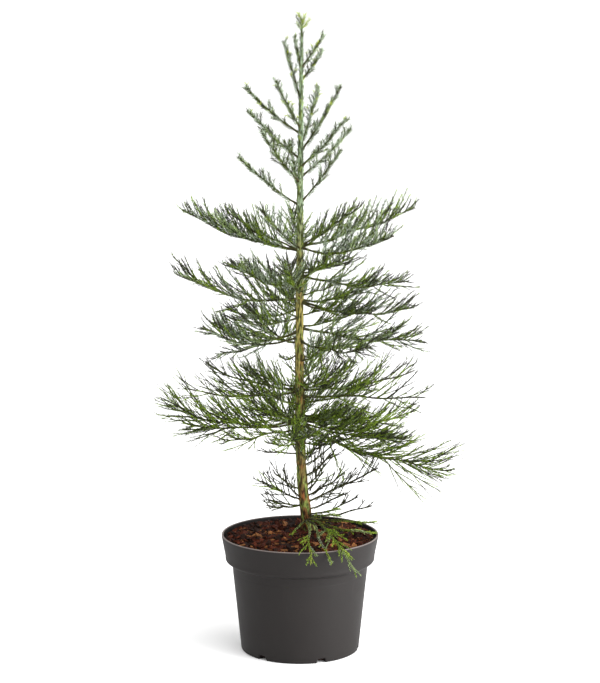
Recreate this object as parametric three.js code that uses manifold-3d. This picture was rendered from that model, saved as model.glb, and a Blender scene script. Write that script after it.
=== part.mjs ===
// A young giant sequoia growing in a round plastic nursery pot. Millimetres, +Z up.
// The origin is the middle of the pot's flat underside. +X is to the right, +Y is away from the front.
import * as THREE from "three";
import { mergeVertices } from "three/addons/utils/BufferGeometryUtils.js";
import Module from "manifold-3d";

const wasm = await Module();
wasm.setup();

// Clearances between neighbouring pieces.
const GAP = 0.3;
const FOLIAGE_GAP = 0.5;

// Pot: a thin cone with a wider collar at the top and drain holes round its base corner.
const POT_HEIGHT = 142;
const POT_WALL = 2.2;
const POT_FLOOR = 3;
const BASE_RADIUS = 71.5;
const BASE_CHAMFER = 1.5;
const WALL_TOP_RADIUS = 82.5;
const WALL_TOP = 107;
const COLLAR_FOOT_RADIUS = 90.5;
const COLLAR_FOOT = 116;
const RIM_RADIUS = 95;
const LIP_ROUND = 0.8;
const ROUND_SEGMENTS = 36;
const DRAIN_HOLES = 6;
const DRAIN_RADIUS = 6;
const DRAIN_DEPTH = 16;
const DRAIN_TURN = -69;

// Compost: level in the middle, falling a little to the pot's wall.
const COMPOST_TOP = 139;
const COMPOST_EDGE = 134;
const COMPOST_LEVEL_RADIUS = 55;

// Trunk: leans in towards the middle of the pot, then stands almost upright.
const TRUNK_FOOT = COMPOST_TOP + GAP;
const TRUNK_SUNK = 4;
const TRUNK_TIP = 742;
const TRUNK_FOOT_RADIUS = 6.6;
const TRUNK_TIP_RADIUS = 1.3;
const TRUNK_TAPER = 0.9;
const FLARE = 2.2;
const FLARE_HEIGHT = 9;
const FLARE_LOBES = 4;
const FLARE_LOBE_DEPTH = 0.4;
const TRUNK_PATH = [
  new THREE.Vector3(10.5, 27, TRUNK_FOOT - TRUNK_SUNK),
  new THREE.Vector3(3, 17, 200),
  new THREE.Vector3(0, 12, 266),
  new THREE.Vector3(0, 8, 500),
  new THREE.Vector3(2, 4, TRUNK_TIP),
];

// Boughs and twigs.
const SEED = 20261;
const BOUGH_RADIUS = 0.6;
const BOUGH_RADIUS_RATE = 0.009;
const BOUGH_TIP_RADIUS = 0.55;
const BOUGH_TAPER = 0.8;
const BOUGH_CROOK = 0.5;
const SHORTEST_LIMB = 18;
const TWIG_PITCH = 2.8;
const TWIG_PITCH_RATE = 0.016;
const TWIG_STEP = 3;
const LAST_TWIG = 0.97;
const TWIG_LEAN = 50;
const TWIG_LEAN_FALL = 24;
const TWIG_LEAN_SPREAD = 12;
const TWIG_ROLL_LEAST = 12;
const TWIG_ROLL_SPREAD = 80;
const TWIG_LIFT = 0.4;
const TWIG_FULLNESS_FALL = 0.65;
const TWIG_FULLNESS_AT_ROOT = 0.7;
const TWIG_FULLNESS_RISE = 1.5;
const TWIG_LENGTH_LEAST = 0.8;
const TWIG_LENGTH_SPREAD = 0.4;
const TWIG_PAST_TIP = 9;
const TWIG_TO_TIP = 1.15;
const HANGING_STEP = 7;
const HANGING_FIRST = 4;
const HANGING_ROLL = 120;
const HANGING_LIFT = 0.25;
const FLAT_ROLL = 70;
const LOW_ROLL_SPREAD = 30;
const SPRAY_CORE = 0.9;
const SPRAY_ROOT = 0.4;
const SPRAY_TAPER = 0.6;
const SPRAY_RING_LENGTH = 15;
const STEM_RING_LENGTH = 20;
const NEEDLE_SHARE = 0.15;
const NEEDLE_LEAST = 2.5;
const NEEDLE_MOST = 9;
const NEEDLE_TAPER = 0.5;
const NEEDLE_AHEAD = 0.6;
const STEM_NEEDLE = 0.7;
const STEM_NEEDLES_FROM = 0.5;

// One bough: the height where it leaves the trunk, its azimuth from +X towards +Y, the reach and
// rise of its tip, the sag of its middle below a straight line, its longest twig and its bare length.
function bough(name, height, azimuth, reach, rise, sag, twig, bare, habit = {}) {
  const usual = { crook: BOUGH_CROOK, lift: TWIG_LIFT };
  return { name, height, azimuth, reach, rise, sag, twig, bare, ...usual, ...habit };
}

// The leader's twigs spread in a tuft. A drooping bough has some hanging twigs. A flat one trails over the
// rim with its twigs spread level.
const TUFTED = { lift: 0.1 };
const DROOPING = { droops: true };
const FLAT = { lift: -0.3, flat: true, crook: 0.78 };

const BOUGHS = [
  bough("leader", 742, 80, 3, 15, 0, 24, 0.5, TUFTED),
  bough("top_1", 703, -25, 29, 37, 2, 11, 5),
  bough("top_2", 667, 160, 22, 65, 1, 14, 6),
  bough("top_3", 632, 230, 45, 55, 3, 18, 8),
  bough("top_4", 625, 178, 66, 54, 4, 22, 12),
  bough("top_5", 611, 65, 52, 68, 2, 22, 8),
  bough("top_6", 605, 10, 48, 74, 3, 24, 10),
  bough("top_7", 595, 142, 81, 55, 3, 26, 12),
  bough("top_8", 586, -38, 68, 58, 3, 24, 12),
  bough("top_9", 574, 38, 77, 54, 4, 26, 12),
  bough("top_10", 568, 222, 62, 62, 4, 32, 12),
  bough("top_11", 556, 100, 76, 56, 4, 30, 12),
  bough("top_12", 544, -12, 49, 62, 3, 30, 14),
  bough("top_13", 540, 172, 74, 56, 4, 30, 16),
  bough("upper_1", 491, 14, 143, 47, 5, 56, 16),
  bough("upper_2", 489, -35, 132, 22, 12, 56, 26),
  bough("upper_3", 489, 238, 83, 59, 4, 52, 8),
  bough("upper_4", 486, 172, 142, 46, 8, 56, 10),
  bough("upper_5", 484, 95, 110, 42, 6, 56, 10),
  bough("middle_1", 465, 55, 108, 4, 8, 58, 14),
  bough("middle_2", 456, -20, 137, -1, 9, 60, 24),
  bough("middle_3", 444, 140, 113, 25, 6, 58, 12),
  bough("middle_4", 435, 262, 98, 46, 5, 52, 8),
  bough("middle_5", 427, 194, 155, 45, 5, 60, 16),
  bough("middle_6", 426, 42, 120, 7, 8, 66, 12),
  bough("middle_7", 424, -24, 152, 5, 12, 70, 24),
  bough("middle_8", 415, 164, 92, 8, 8, 66, 12),
  bough("middle_9", 411, 96, 120, 30, 10, 70, 12),
  bough("middle_10", 405, 218, 104, 20, 8, 64, 12),
  bough("lower_1", 392, -10, 151, -11, 5, 80, 16, DROOPING),
  bough("lower_2", 389, 205, 131, 16, 19, 80, 24, DROOPING),
  bough("lower_3", 377, -55, 140, 10, 9, 76, 14, DROOPING),
  bough("lower_4", 375, 122, 125, 26, 12, 80, 14, DROOPING),
  bough("lower_5", 328, 82, 135, 18, 10, 84, 14, DROOPING),
  bough("lower_6", 322, 298, 94, 27, 6, 66, 10, DROOPING),
  bough("lower_7", 318, 145, 147, 22, 10, 66, 14, DROOPING),
  bough("lower_8", 317, 4, 140, 32, 10, 84, 14, DROOPING),
  bough("lower_9", 309, -28, 167, 12, 0, 80, 24, DROOPING),
  bough("lower_10", 315, 190, 144, 8, 8, 84, 16, DROOPING),
  bough("bottom_1", 281, 174, 173, 26, 20, 90, 24, DROOPING),
  bough("bottom_2", 279, 24, 155, 6, 10, 84, 14, DROOPING),
  bough("bottom_3", 274, -18, 189, -45, 10, 84, 24, DROOPING),
  bough("bottom_4", 273, 105, 138, 4, 8, 84, 14, DROOPING),
  bough("bottom_5", 269, 212, 117, -5, 1, 70, 14, DROOPING),
  bough("bottom_6", 266, 262, 88, 6, 5, 60, 10, DROOPING),
  bough("foot_1", 178, 155, 59, 22, 1, 40, 8),
  bough("foot_2", 176, -8, 90, 45, 1, 44, 10),
  bough("foot_3", 153, -64, 138, -41, -32, 56, 10, FLAT),
  bough("foot_4", 166, 28, 62, 16, 2, 36, 8),
];

// A number from 0 to 1 that depends only on the seed and the keys.
function chance(...keys) {
  let state = SEED;
  for (const key of keys) {
    state = Math.imul(state ^ (key + 40503), 2246822519);
    state ^= state >>> 13;
    state = Math.imul(state, 3266489917);
    state ^= state >>> 16;
  }
  return (state >>> 0) / 4294967296;
}

// The part of a curve between two shares of its length.
class Span extends THREE.Curve {
  constructor(curve, from, to) {
    super();
    this.curve = curve;
    this.from = from;
    this.to = to;
  }

  getPoint(share, target) {
    return this.curve.getPointAt(THREE.MathUtils.lerp(this.from, this.to, share), target);
  }
}

function solidOf(geometry) {
  geometry.deleteAttribute("normal");
  geometry.deleteAttribute("uv");
  const merged = mergeVertices(geometry, 1e-4);
  const corners = merged.index.array;
  const faces = [];
  for (let i = 0; i < corners.length; i += 3) {
    const [a, b, c] = corners.slice(i, i + 3);
    if (a !== b && b !== c && c !== a) faces.push(a, b, c);
  }
  return new wasm.Manifold(new wasm.Mesh({
    numProp: 3,
    vertProperties: Float32Array.from(merged.attributes.position.array),
    triVerts: Uint32Array.from(faces),
  }));
}

function meshOf(name, solid, material) {
  const { vertProperties, triVerts } = solid.getMesh();
  const geometry = new THREE.BufferGeometry();
  geometry.setAttribute("position", new THREE.BufferAttribute(vertProperties, 3));
  geometry.setIndex(new THREE.BufferAttribute(triVerts, 1));
  geometry.computeVertexNormals();
  const mesh = new THREE.Mesh(geometry, material);
  mesh.name = name;
  return mesh;
}

// The largest whole body of a joined solid, with any pocket inside it filled.
function wholeOf(solids) {
  const bodies = solids.reduce((whole, solid) => whole.add(solid)).decompose();
  return bodies.reduce((best, body) => (body.volume() > best.volume() ? body : best));
}

// The axis that a curve runs along least, which fixes how its rings are turned.
function crossAxis(curve) {
  const chord = curve.getPoint(1).sub(curve.getPoint(0)).toArray().map(Math.abs);
  return new THREE.Vector3().setComponent(chord.indexOf(Math.min(...chord)), 1);
}

// A tapering limb along a curve: a cylinder whose rings are carried along it, closer together at its
// foot where the crowding is over 1. The shape gives each ring corner its distance from the axis
// and how far it is pushed ahead.
function sweep(curve, { sides, rings, pointed, crowding = 1 }, shape) {
  const geometry = new THREE.CylinderGeometry(pointed ? 0 : 1, 1, 1, sides, rings);
  const across = crossAxis(curve);
  const places = geometry.attributes.position;
  for (let i = 0; i < places.count; i += 1) {
    const [x, y, z] = [places.getX(i), places.getY(i), places.getZ(i)];
    const ring = Math.round((y + 0.5) * rings);
    const share = (ring / rings) ** crowding;
    const width = Math.hypot(x, z);
    const point = curve.getPointAt(share);
    if (width > 1e-6) {
      const corner = (Math.round((Math.atan2(x, z) / (2 * Math.PI)) * sides) + sides) % sides;
      const { out, ahead = 0 } = shape(share, corner, ring);
      const along = curve.getTangentAt(share);
      const normal = across.clone().addScaledVector(along, -across.dot(along)).normalize();
      const binormal = along.clone().cross(normal);
      point.addScaledVector(normal, (x / width) * out);
      point.addScaledVector(binormal, (-z / width) * out);
      point.addScaledVector(along, ahead);
    }
    places.setXYZ(i, point.x, point.y, point.z);
  }
  return solidOf(geometry);
}

function turned(profile) {
  return solidOf(new THREE.LatheGeometry(profile, ROUND_SEGMENTS).rotateX(Math.PI / 2));
}

// Pot and compost.
function potWall(inset) {
  const wall = new THREE.Path();
  wall.moveTo(BASE_RADIUS - inset, inset > 0 ? POT_FLOOR : BASE_CHAMFER);
  wall.lineTo(WALL_TOP_RADIUS - inset, WALL_TOP);
  wall.quadraticCurveTo(COLLAR_FOOT_RADIUS - inset, WALL_TOP + 1, COLLAR_FOOT_RADIUS - inset, COLLAR_FOOT);
  wall.lineTo(RIM_RADIUS - inset, POT_HEIGHT - LIP_ROUND);
  return wall.getPoints(2);
}

function potSolid() {
  const profile = [
    new THREE.Vector2(0, 0),
    new THREE.Vector2(BASE_RADIUS - BASE_CHAMFER, 0),
    ...potWall(0),
    new THREE.Vector2(RIM_RADIUS - LIP_ROUND, POT_HEIGHT),
    new THREE.Vector2(RIM_RADIUS - POT_WALL + LIP_ROUND, POT_HEIGHT),
    ...potWall(POT_WALL).reverse(),
    new THREE.Vector2(0, POT_FLOOR),
  ];
  let pot = turned(profile);
  for (let i = 0; i < DRAIN_HOLES; i += 1) {
    const hole = new THREE.CylinderGeometry(DRAIN_RADIUS, DRAIN_RADIUS, DRAIN_DEPTH, 8);
    hole.rotateY(Math.PI / 8).rotateZ(Math.PI / 2).translate(BASE_RADIUS, 0, 0);
    hole.rotateZ(THREE.MathUtils.degToRad(DRAIN_TURN + (360 / DRAIN_HOLES) * i));
    pot = pot.subtract(solidOf(hole));
  }
  return pot;
}

function compostSolid() {
  const wall = potWall(POT_WALL + GAP).filter((point) => point.y < COMPOST_EDGE);
  wall[0].y += GAP;
  const share = (COMPOST_EDGE - COLLAR_FOOT) / (POT_HEIGHT - COLLAR_FOOT);
  const edge = THREE.MathUtils.lerp(COLLAR_FOOT_RADIUS, RIM_RADIUS, share) - POT_WALL - GAP;
  return turned([
    new THREE.Vector2(0, POT_FLOOR + GAP),
    ...wall,
    new THREE.Vector2(edge, COMPOST_EDGE),
    new THREE.Vector2(COMPOST_LEVEL_RADIUS, COMPOST_TOP),
    new THREE.Vector2(0, COMPOST_TOP),
  ]);
}

// Trunk.
const trunkCurve = new THREE.CatmullRomCurve3(TRUNK_PATH);

function trunkRadius(height, lobe = 1 + FLARE_LOBE_DEPTH) {
  const climbed = (height - TRUNK_FOOT) / (TRUNK_TIP - TRUNK_FOOT);
  const taper = Math.max(0, 1 - climbed) ** TRUNK_TAPER;
  const flare = FLARE * lobe * Math.exp((TRUNK_FOOT - height) / FLARE_HEIGHT);
  return THREE.MathUtils.lerp(TRUNK_TIP_RADIUS, TRUNK_FOOT_RADIUS, taper) + flare;
}

function trunkPoint(height) {
  let [low, high] = [0, 1];
  for (let i = 0; i < 40; i += 1) {
    const middle = (low + high) / 2;
    if (trunkCurve.getPoint(middle).z < height) low = middle;
    else high = middle;
  }
  return trunkCurve.getPoint(low);
}

function trunkSolid() {
  const sides = 2 * FLARE_LOBES;
  const trunk = sweep(trunkCurve, { sides, rings: 15, crowding: 1.7 }, (share, corner) => {
    const height = trunkCurve.getPointAt(share).z;
    const lobe = 1 + FLARE_LOBE_DEPTH * Math.cos((corner / sides) * 2 * Math.PI * FLARE_LOBES);
    return { out: trunkRadius(height, lobe) };
  });
  const ground = new THREE.BoxGeometry(RIM_RADIUS, RIM_RADIUS, TRUNK_SUNK * 4);
  ground.translate(TRUNK_PATH[0].x, TRUNK_PATH[0].y, TRUNK_FOOT - TRUNK_SUNK * 2);
  return trunk.subtract(solidOf(ground));
}

// Boughs.
function boughRadius(row, share) {
  const root = BOUGH_RADIUS + BOUGH_RADIUS_RATE * Math.hypot(row.reach, row.rise);
  return THREE.MathUtils.lerp(root, BOUGH_TIP_RADIUS, share ** BOUGH_TAPER);
}

function boughCurve(row) {
  const azimuth = THREE.MathUtils.degToRad(row.azimuth);
  const heading = new THREE.Vector3(Math.cos(azimuth), Math.sin(azimuth), 0);
  const axis = trunkPoint(row.height);
  const tip = axis.clone().addScaledVector(heading, row.reach);
  tip.z += row.rise;
  const crest = axis.clone().lerp(tip, row.crook);
  crest.z -= 2 * row.sag;
  const steep = Math.abs(crest.clone().sub(axis).normalize().z);
  const root = axis.clone();
  if (row.height < TRUNK_TIP) {
    root.addScaledVector(heading, trunkRadius(row.height) + GAP + steep * boughRadius(row, 0));
  } else {
    root.z = TRUNK_TIP + GAP;
  }
  return new THREE.QuadraticBezierCurve3(root, crest, tip);
}

function needle(length) {
  return THREE.MathUtils.clamp(length * NEEDLE_SHARE, NEEDLE_LEAST, NEEDLE_MOST);
}

// A spray of needles: a slim three-sided core whose rings each draw one corner out into a needle.
function spraySolid(curve, grow) {
  const length = curve.getLength();
  const rings = THREE.MathUtils.clamp(Math.round(length / SPRAY_RING_LENGTH), 2, 4);
  const tooth = needle(length);
  return sweep(curve, { sides: 3, rings, pointed: true }, (share, corner, ring) => {
    if (ring === 0) return { out: SPRAY_ROOT + grow };
    const core = SPRAY_CORE * (1 - SPRAY_TAPER * share);
    if (corner !== ring % 3) return { out: core + grow };
    const drawn = tooth * (1 - NEEDLE_TAPER * share);
    return { out: core + drawn + grow, ahead: (NEEDLE_AHEAD * length) / rings };
  });
}

// The stem of a mass: the bough from its bare length on, with needles drawn out of its outer half.
function stemSolid(row, curve, from) {
  const span = new Span(curve, from, 1);
  const rings = THREE.MathUtils.clamp(Math.round(span.getLength() / STEM_RING_LENGTH), 3, 6);
  const tooth = needle(row.twig);
  const ahead = Math.min(tooth, (NEEDLE_AHEAD * span.getLength()) / rings);
  return sweep(span, { sides: 4, rings, pointed: true }, (share, corner, ring) => {
    const core = boughRadius(row, THREE.MathUtils.lerp(from, 1, share));
    if (share < STEM_NEEDLES_FROM || corner !== (ring * 3) % 4) return { out: core };
    return { out: core + STEM_NEEDLE * tooth, ahead };
  });
}

function twigCurve(row, index, curve, from, k, count) {
  const share = (k + 0.5) / count;
  const place = THREE.MathUtils.lerp(from, LAST_TWIG, share);
  const base = curve.getPointAt(place);
  const along = curve.getTangentAt(place);
  const up = new THREE.Vector3(0, 0, 1).addScaledVector(along, -along.z).normalize();
  const side = along.clone().cross(up);
  const hanging = row.droops && k % HANGING_STEP === HANGING_FIRST;
  let roll = TWIG_ROLL_LEAST + TWIG_ROLL_SPREAD * chance(index, k, 1);
  if (row.flat) roll = FLAT_ROLL + LOW_ROLL_SPREAD * chance(index, k, 1);
  if (hanging) roll = HANGING_ROLL + LOW_ROLL_SPREAD * chance(index, k, 1);
  roll = THREE.MathUtils.degToRad(k % 2 ? roll : -roll);
  const spread = TWIG_LEAN_SPREAD * (chance(index, k, 2) - 0.5);
  const lean = THREE.MathUtils.degToRad(TWIG_LEAN - TWIG_LEAN_FALL * share + spread);
  const out = up.multiplyScalar(Math.cos(roll)).addScaledVector(side, Math.sin(roll));
  const start = along.clone().multiplyScalar(Math.cos(lean)).addScaledVector(out, Math.sin(lean));
  const finish = start.clone();
  finish.z += hanging ? HANGING_LIFT : row.lift;
  finish.normalize();
  const filled = Math.min(1, TWIG_FULLNESS_AT_ROOT + TWIG_FULLNESS_RISE * share);
  const fullness = (1 - TWIG_FULLNESS_FALL * share) * filled;
  const wanted = row.twig * fullness * (TWIG_LENGTH_LEAST + TWIG_LENGTH_SPREAD * chance(index, k, 3));
  const length = Math.min(wanted, TWIG_PAST_TIP + TWIG_TO_TIP * (1 - place) * curve.getLength());
  const middle = base.clone().addScaledVector(start, length / 2);
  const tip = middle.clone().addScaledVector(finish, length / 2);
  return new THREE.QuadraticBezierCurve3(base, middle, tip);
}

function apart(solid, others, owner) {
  const { min, max } = solid.boundingBox();
  return others.every((other) => {
    if (other.owner === owner) return true;
    const box = other.box;
    const far = [0, 1, 2].some((i) => min[i] > box.max[i] || max[i] < box.min[i]);
    return far || solid.intersect(other.solid).isEmpty();
  });
}

// Everything is placed in this order: pot, compost, trunk, every stem, then the sprays in turn.
const placed = [];

function place(owner, solid) {
  placed.push({ owner, solid, box: solid.boundingBox() });
}

function placeClear(owner, solid) {
  const touched = placed.filter((other) => !apart(solid, [other], owner));
  if (touched.length) throw new Error(`${owner} meets ${touched.map((other) => other.owner).join(", ")}`);
  place(owner, solid);
}

const MATERIALS = {
  pot: new THREE.MeshStandardMaterial({ name: "black_plastic", color: 0x2c2e31, roughness: 0.55 }),
  compost: new THREE.MeshStandardMaterial({ name: "bark_compost", color: 0x3f2c25, roughness: 0.95 }),
  bark: new THREE.MeshStandardMaterial({ name: "young_bark", color: 0x7a4f38, roughness: 0.85 }),
  foliage: new THREE.MeshStandardMaterial({ name: "needle_foliage", color: 0x5f7d5e, roughness: 0.7 }),
};

const plant = new THREE.Group();
plant.name = "giant_sequoia_in_pot";

function keep(name, solid, material) {
  plant.add(meshOf(name, solid, material));
}

const fixedPieces = [
  ["pot", potSolid(), MATERIALS.pot],
  ["compost", compostSolid(), MATERIALS.compost],
  ["trunk", trunkSolid(), MATERIALS.bark],
];
for (const [name, solid, material] of fixedPieces) {
  place(name, solid);
  keep(name, solid, material);
}

const masses = BOUGHS.map((row, index) => {
  const curve = boughCurve(row);
  const length = curve.getLength();
  const isLimb = row.bare >= SHORTEST_LIMB;
  const from = isLimb ? (row.bare + GAP) / length : 0;
  const leafy = row.bare / length;
  const count = Math.round((length - row.bare) / (TWIG_PITCH + TWIG_PITCH_RATE * row.twig));
  const owner = `foliage_${row.name}`;
  if (isLimb) {
    const limb = sweep(new Span(curve, 0, leafy), { sides: 6, rings: 3 }, (share) => ({
      out: boughRadius(row, share * leafy),
    }));
    placeClear(`bough_${row.name}`, limb);
    keep(`bough_${row.name}`, limb, MATERIALS.bark);
  }
  const stem = stemSolid(row, curve, from);
  placeClear(owner, stem);
  return { row, index, curve, leafy, count, owner, solids: [stem] };
});

const most = Math.max(...masses.map((mass) => mass.count));
for (let k = 1; k < most; k += TWIG_STEP) {
  for (const { row, index, curve, leafy, count, owner, solids } of masses) {
    if (k >= count) continue;
    const twig = twigCurve(row, index, curve, leafy, k, count);
    if (!apart(spraySolid(twig, FOLIAGE_GAP), placed, owner)) continue;
    const spray = spraySolid(twig, 0);
    place(owner, spray);
    solids.push(spray);
  }
}
for (const { owner, solids } of masses) keep(owner, wholeOf(solids), MATERIALS.foliage);

export default plant;
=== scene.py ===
"""A young giant sequoia in a round nursery pot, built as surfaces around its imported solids."""

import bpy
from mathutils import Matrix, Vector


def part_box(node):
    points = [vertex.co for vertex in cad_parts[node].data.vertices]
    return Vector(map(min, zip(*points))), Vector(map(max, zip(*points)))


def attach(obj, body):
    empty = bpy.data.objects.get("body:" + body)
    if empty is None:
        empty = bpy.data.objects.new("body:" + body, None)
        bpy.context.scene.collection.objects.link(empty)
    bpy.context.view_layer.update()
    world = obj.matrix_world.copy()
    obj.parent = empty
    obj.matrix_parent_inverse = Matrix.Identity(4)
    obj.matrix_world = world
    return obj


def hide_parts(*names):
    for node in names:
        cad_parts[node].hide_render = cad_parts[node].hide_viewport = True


bl_info = {
    "name": "Potted Giant Sequoia",
    "version": (1, 0, 0),
    "blender": (4, 5, 0),
    "location": "View3D > Sidebar > Sequoia",
    "description": "Builds a young giant sequoia with its bark, twigs, scale leaves, compost and pot",
    "category": "Add Mesh",
}

from functools import partial
from typing import NamedTuple

import bpy
import numpy as np
from bpy.props import FloatProperty, FloatVectorProperty, IntProperty, PointerProperty
from bpy.types import NodeSocket, Operator, Panel, PropertyGroup, Scene

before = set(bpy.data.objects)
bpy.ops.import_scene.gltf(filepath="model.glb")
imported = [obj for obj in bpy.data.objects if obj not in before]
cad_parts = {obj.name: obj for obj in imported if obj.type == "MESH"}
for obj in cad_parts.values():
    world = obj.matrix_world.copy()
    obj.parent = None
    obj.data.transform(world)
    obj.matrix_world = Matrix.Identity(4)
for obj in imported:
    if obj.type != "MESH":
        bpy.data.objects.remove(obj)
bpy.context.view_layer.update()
POT_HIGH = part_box("pot")[1]
TRUNK_LOW, TRUNK_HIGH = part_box("trunk")
LIMB_NODES = sorted(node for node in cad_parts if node.startswith("bough_"))
FOLIAGE_NODES = sorted(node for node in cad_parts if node.startswith("foliage_"))

# Lengths below are in millimetres and angles in degrees.
MM = 1000.0
UP = np.array([0.0, 0.0, 1.0])
FULL_TURN = 2 * np.pi
GOLDEN_TURN = np.radians(137.508)
CHORDS = 128
STEEP = 0.95
MOST_ROUNDING = 0.45

# Chance: a seed, and the salt, factors and folds that mix it with keys in words of 32 bits.
SEED = 20261
WORD = np.uint64(0xFFFFFFFF)
SALT = np.uint64(40503)
MIXING = [(np.uint64(factor), np.uint64(fold)) for factor, fold in ((2246822519, 13), (3266489917, 16))]

# Sets of waves: seed, count, range of turns and largest drift. Each bough's knots have a seed of their own.
CRUMB_WAVES = (11, 24, (1, 40), 0.9)
RIDGE_WAVES = (3, 14, (3, 13), 0.12)
SCAR_WAVES = (5, 18, (2, 9), 0.9)
KNOT_SEED = 100
KNOT_WAVES = (10, (1, 5), 90.0)

# Pot. The least angle between two segments is in radians.
POT_FLOOR = 3.0
POT_SEGMENTS = 180
ANGLE_DIGITS = 4
LEAST_ANGLE = 0.002
DRAIN_TURN = -69.0
DRAIN_HALF_WIDTH = 6.0
DRAIN_HEIGHT = 6.0
DRAIN_DEPTH = 16.0
DRAIN_SEGMENTS = 21
DRAIN_MARGIN = 1.25
WALL_RINGS = (7, 12, 40)
MOULD_LINE = 97.0
MOULD_HALF_WIDTH = 0.8
MOULD_STEP = 0.06
COLLAR_RISE = 3.0
LIP_ROLL = 2.5
# Depth of the thin band at the top of the lip that carries a painted highlight.
LIP_HIGHLIGHT_BAND = 1.2
LIP_DEPTH = 3.0

# Compost. The usual tilt of a chip is in radians.
COMPOST_GAP = 0.25
COMPOST_SUNK = 1.2
COMPOST_FOOT = 3.4
LEVEL_RADIUS = 55.0
LEVEL_EDGE = 5.0
BED_SIDES = 160
BED_RINGS = 64
CRUMB_HEIGHT = 1.1
CRUMB_FADE = 6.0
SKIRT_DROP = 8.0
SKIRT_LOW = 40.0
CHIP_SEED = 7
CHIP_LEAST = 3.5
CHIP_SPREAD = 9.5
CHIP_SKEW = 1.8
CHIP_WIDTH = (0.35, 0.75)
CHIP_THICKNESS = (0.25, 0.5)
CHIP_WARP = (0.55, 1.1)
CHIP_TILT = 0.35
CHIP_SUNK = 0.6
CHIP_LAY = 0.35
CHIP_HEAP = (-0.6, 0.8)
CHIP_WALL_GAP = 1.5
CHIP_TRUNK_GAP = 8.0
CHIP_SHARES = (0.46, 0.4, 0.14)
BOX_CORNERS = np.array([(x, y, z) for z in (-1, 1) for x, y in ((-1, -1), (1, -1), (1, 1), (-1, 1))])
BOX_FACES = np.array([(0, 3, 2, 1), (4, 5, 6, 7), (0, 1, 5, 4), (1, 2, 6, 5), (2, 3, 7, 6), (3, 0, 4, 7)])

# Trunk: the path of the solid trunk, with a taper that is a little fuller half way up.
TRUNK_FOOT = 139.3
TRUNK_SUNK = 4.0
TRUNK_STUB = 3.0
TRUNK_TIP = 742.0
TRUNK_PATH = np.array(
    [(10.5, 27, TRUNK_FOOT - TRUNK_SUNK), (3, 17, 200), (0, 12, 266), (0, 8, 500), (2, 4, TRUNK_TIP)]
)
TRUNK_FOOT_RADIUS = 6.6
TRUNK_TIP_RADIUS = 1.3
TRUNK_TAPER = 0.74
TRUNK_POINT = 0.8
FLARE = 2.2
FLARE_HEIGHT = 9.0
FLARE_LOBES = 4
FLARE_LOBE_DEPTH = 0.4
RING_CROWDING = 1.15
RELIEF_RANGE = (0.25, 1.3)
RIDGE_RISE = 1.6
RIDGE_SUNK = 0.6
SCAR_RISE = 0.45
STEM_LEAVES_FROM = 420.0
STEM_LEAF_SPANS = 60
STEM_LEAF_SETS = 2
STEM_COAT = 1.3
STEM_PLACE = 0.8
STEM_CROWD = 1.0

# Boughs and twigs: the rule of the solid boughs and sprays, carried on to finer twigs.
GAP = 0.3
BOUGH_RADIUS = 0.6
BOUGH_RADIUS_RATE = 0.0066
BOUGH_TIP_RADIUS = 0.55
BOUGH_TAPER = 0.8
BOUGH_CROOK = 0.5
BOUGH_WANDER = 0.013
BOUGH_BENDS = 1.2
BOUGH_INTO_TRUNK = 0.6
BOUGH_COLLAR = 0.8
BOUGH_COLLAR_LENGTH = 5.0
BOUGH_END_FROM = 0.97
BOUGH_END = 0.6
KNOT_RELIEF = 0.13
BOUGH_SPANS = 5
BOUGH_CROWD = 0.5
LEAVES_TO = 0.99
LEAFLESS = 0.6
FLAT_CROOK = 0.78
TRAIL_BOW = 0.52
FLAT_ROLL = 70.0
TWIG_PITCH = 2.8
TWIG_PITCH_RATE = 0.016
TWIG_STEP = 3
TWIG_PLACE = 0.5
FINER_PLACE = 0.98
LAST_TWIG = 0.97
TWIG_LEAN_SPREAD = 8.0
TWIG_ROLL_LEAST = 12.0
LOW_ROLL_SPREAD = 30.0
TWIG_FULLNESS_AT_ROOT = 0.7
TWIG_FULLNESS_RISE = 1.5
TWIG_LENGTH_LEAST = 0.8
TWIG_LENGTH_SPREAD = 0.4
TWIG_PAST_TIP = 9.0
TWIG_TO_TIP = 1.15
HANGING_ROLL = 120.0
HANGING_LIFT = 0.25
HANGING_AT_ROOT = 0.3
HANGING_RISE = 1.3
MINOR_TWIG = 0.82
FINER_TWIG = 0.66
FINER_KEY = 500
BOUGH_KEY = 1000
STEM_KEY = 900000
TWIG_RADIUS = 0.46
TWIG_RADIUS_RATE = 0.0055
TWIG_TAPER = 0.42
TWIG_RINGS = 5
TWIG_SIDES = 3
SIDE_RADIUS = 0.36
SIDE_RADIUS_RATE = 0.004
SIDE_RINGS = 2
SIDE_FROM = 0.08
SIDE_SPAN = 0.88
SIDE_PLACE = 0.35
SIDE_PLACE_SPREAD = 0.5
SIDE_LEAN_SPREAD = 10.0
SIDE_ALONG = 0.35
SIDE_SHORTENING = 0.75
SIDE_LENGTH_LEAST = 0.65
SIDE_LENGTH_SPREAD = 0.7
SIDE_PAST_TIP = 3.0
SIDE_TO_TIP = 1.1
SIDE_SHORTEST = 4.0
POT_CLEARANCE = 2.0
RIM_CLEARANCE = 1.0
CLEAR_SHARES = np.linspace(0.2, 1, 5)

# Inner shoots beside the boughs of the bottom tier, leafy almost from the trunk.
INNER_TIER = "bottom"
INNER_ABOVE = 5.0
INNER_TURN = 24.0
INNER_REACH = 0.42
INNER_RISE = 16.0
INNER_TWIG = 0.7
INNER_BARE = 4.0
FRONT = -90.0
FRONT_CLEAR = 35.0

# Tufts of short shoots on the trunk among the lowest boughs: each shoot's reach, rise, sag, twig and bare
# length.
TUFTS = 20
TUFT_FROM = 230.0
TUFT_PITCH = 5.0
TUFT_SHOOT = (15, 14, 1, 15, 1)

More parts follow.
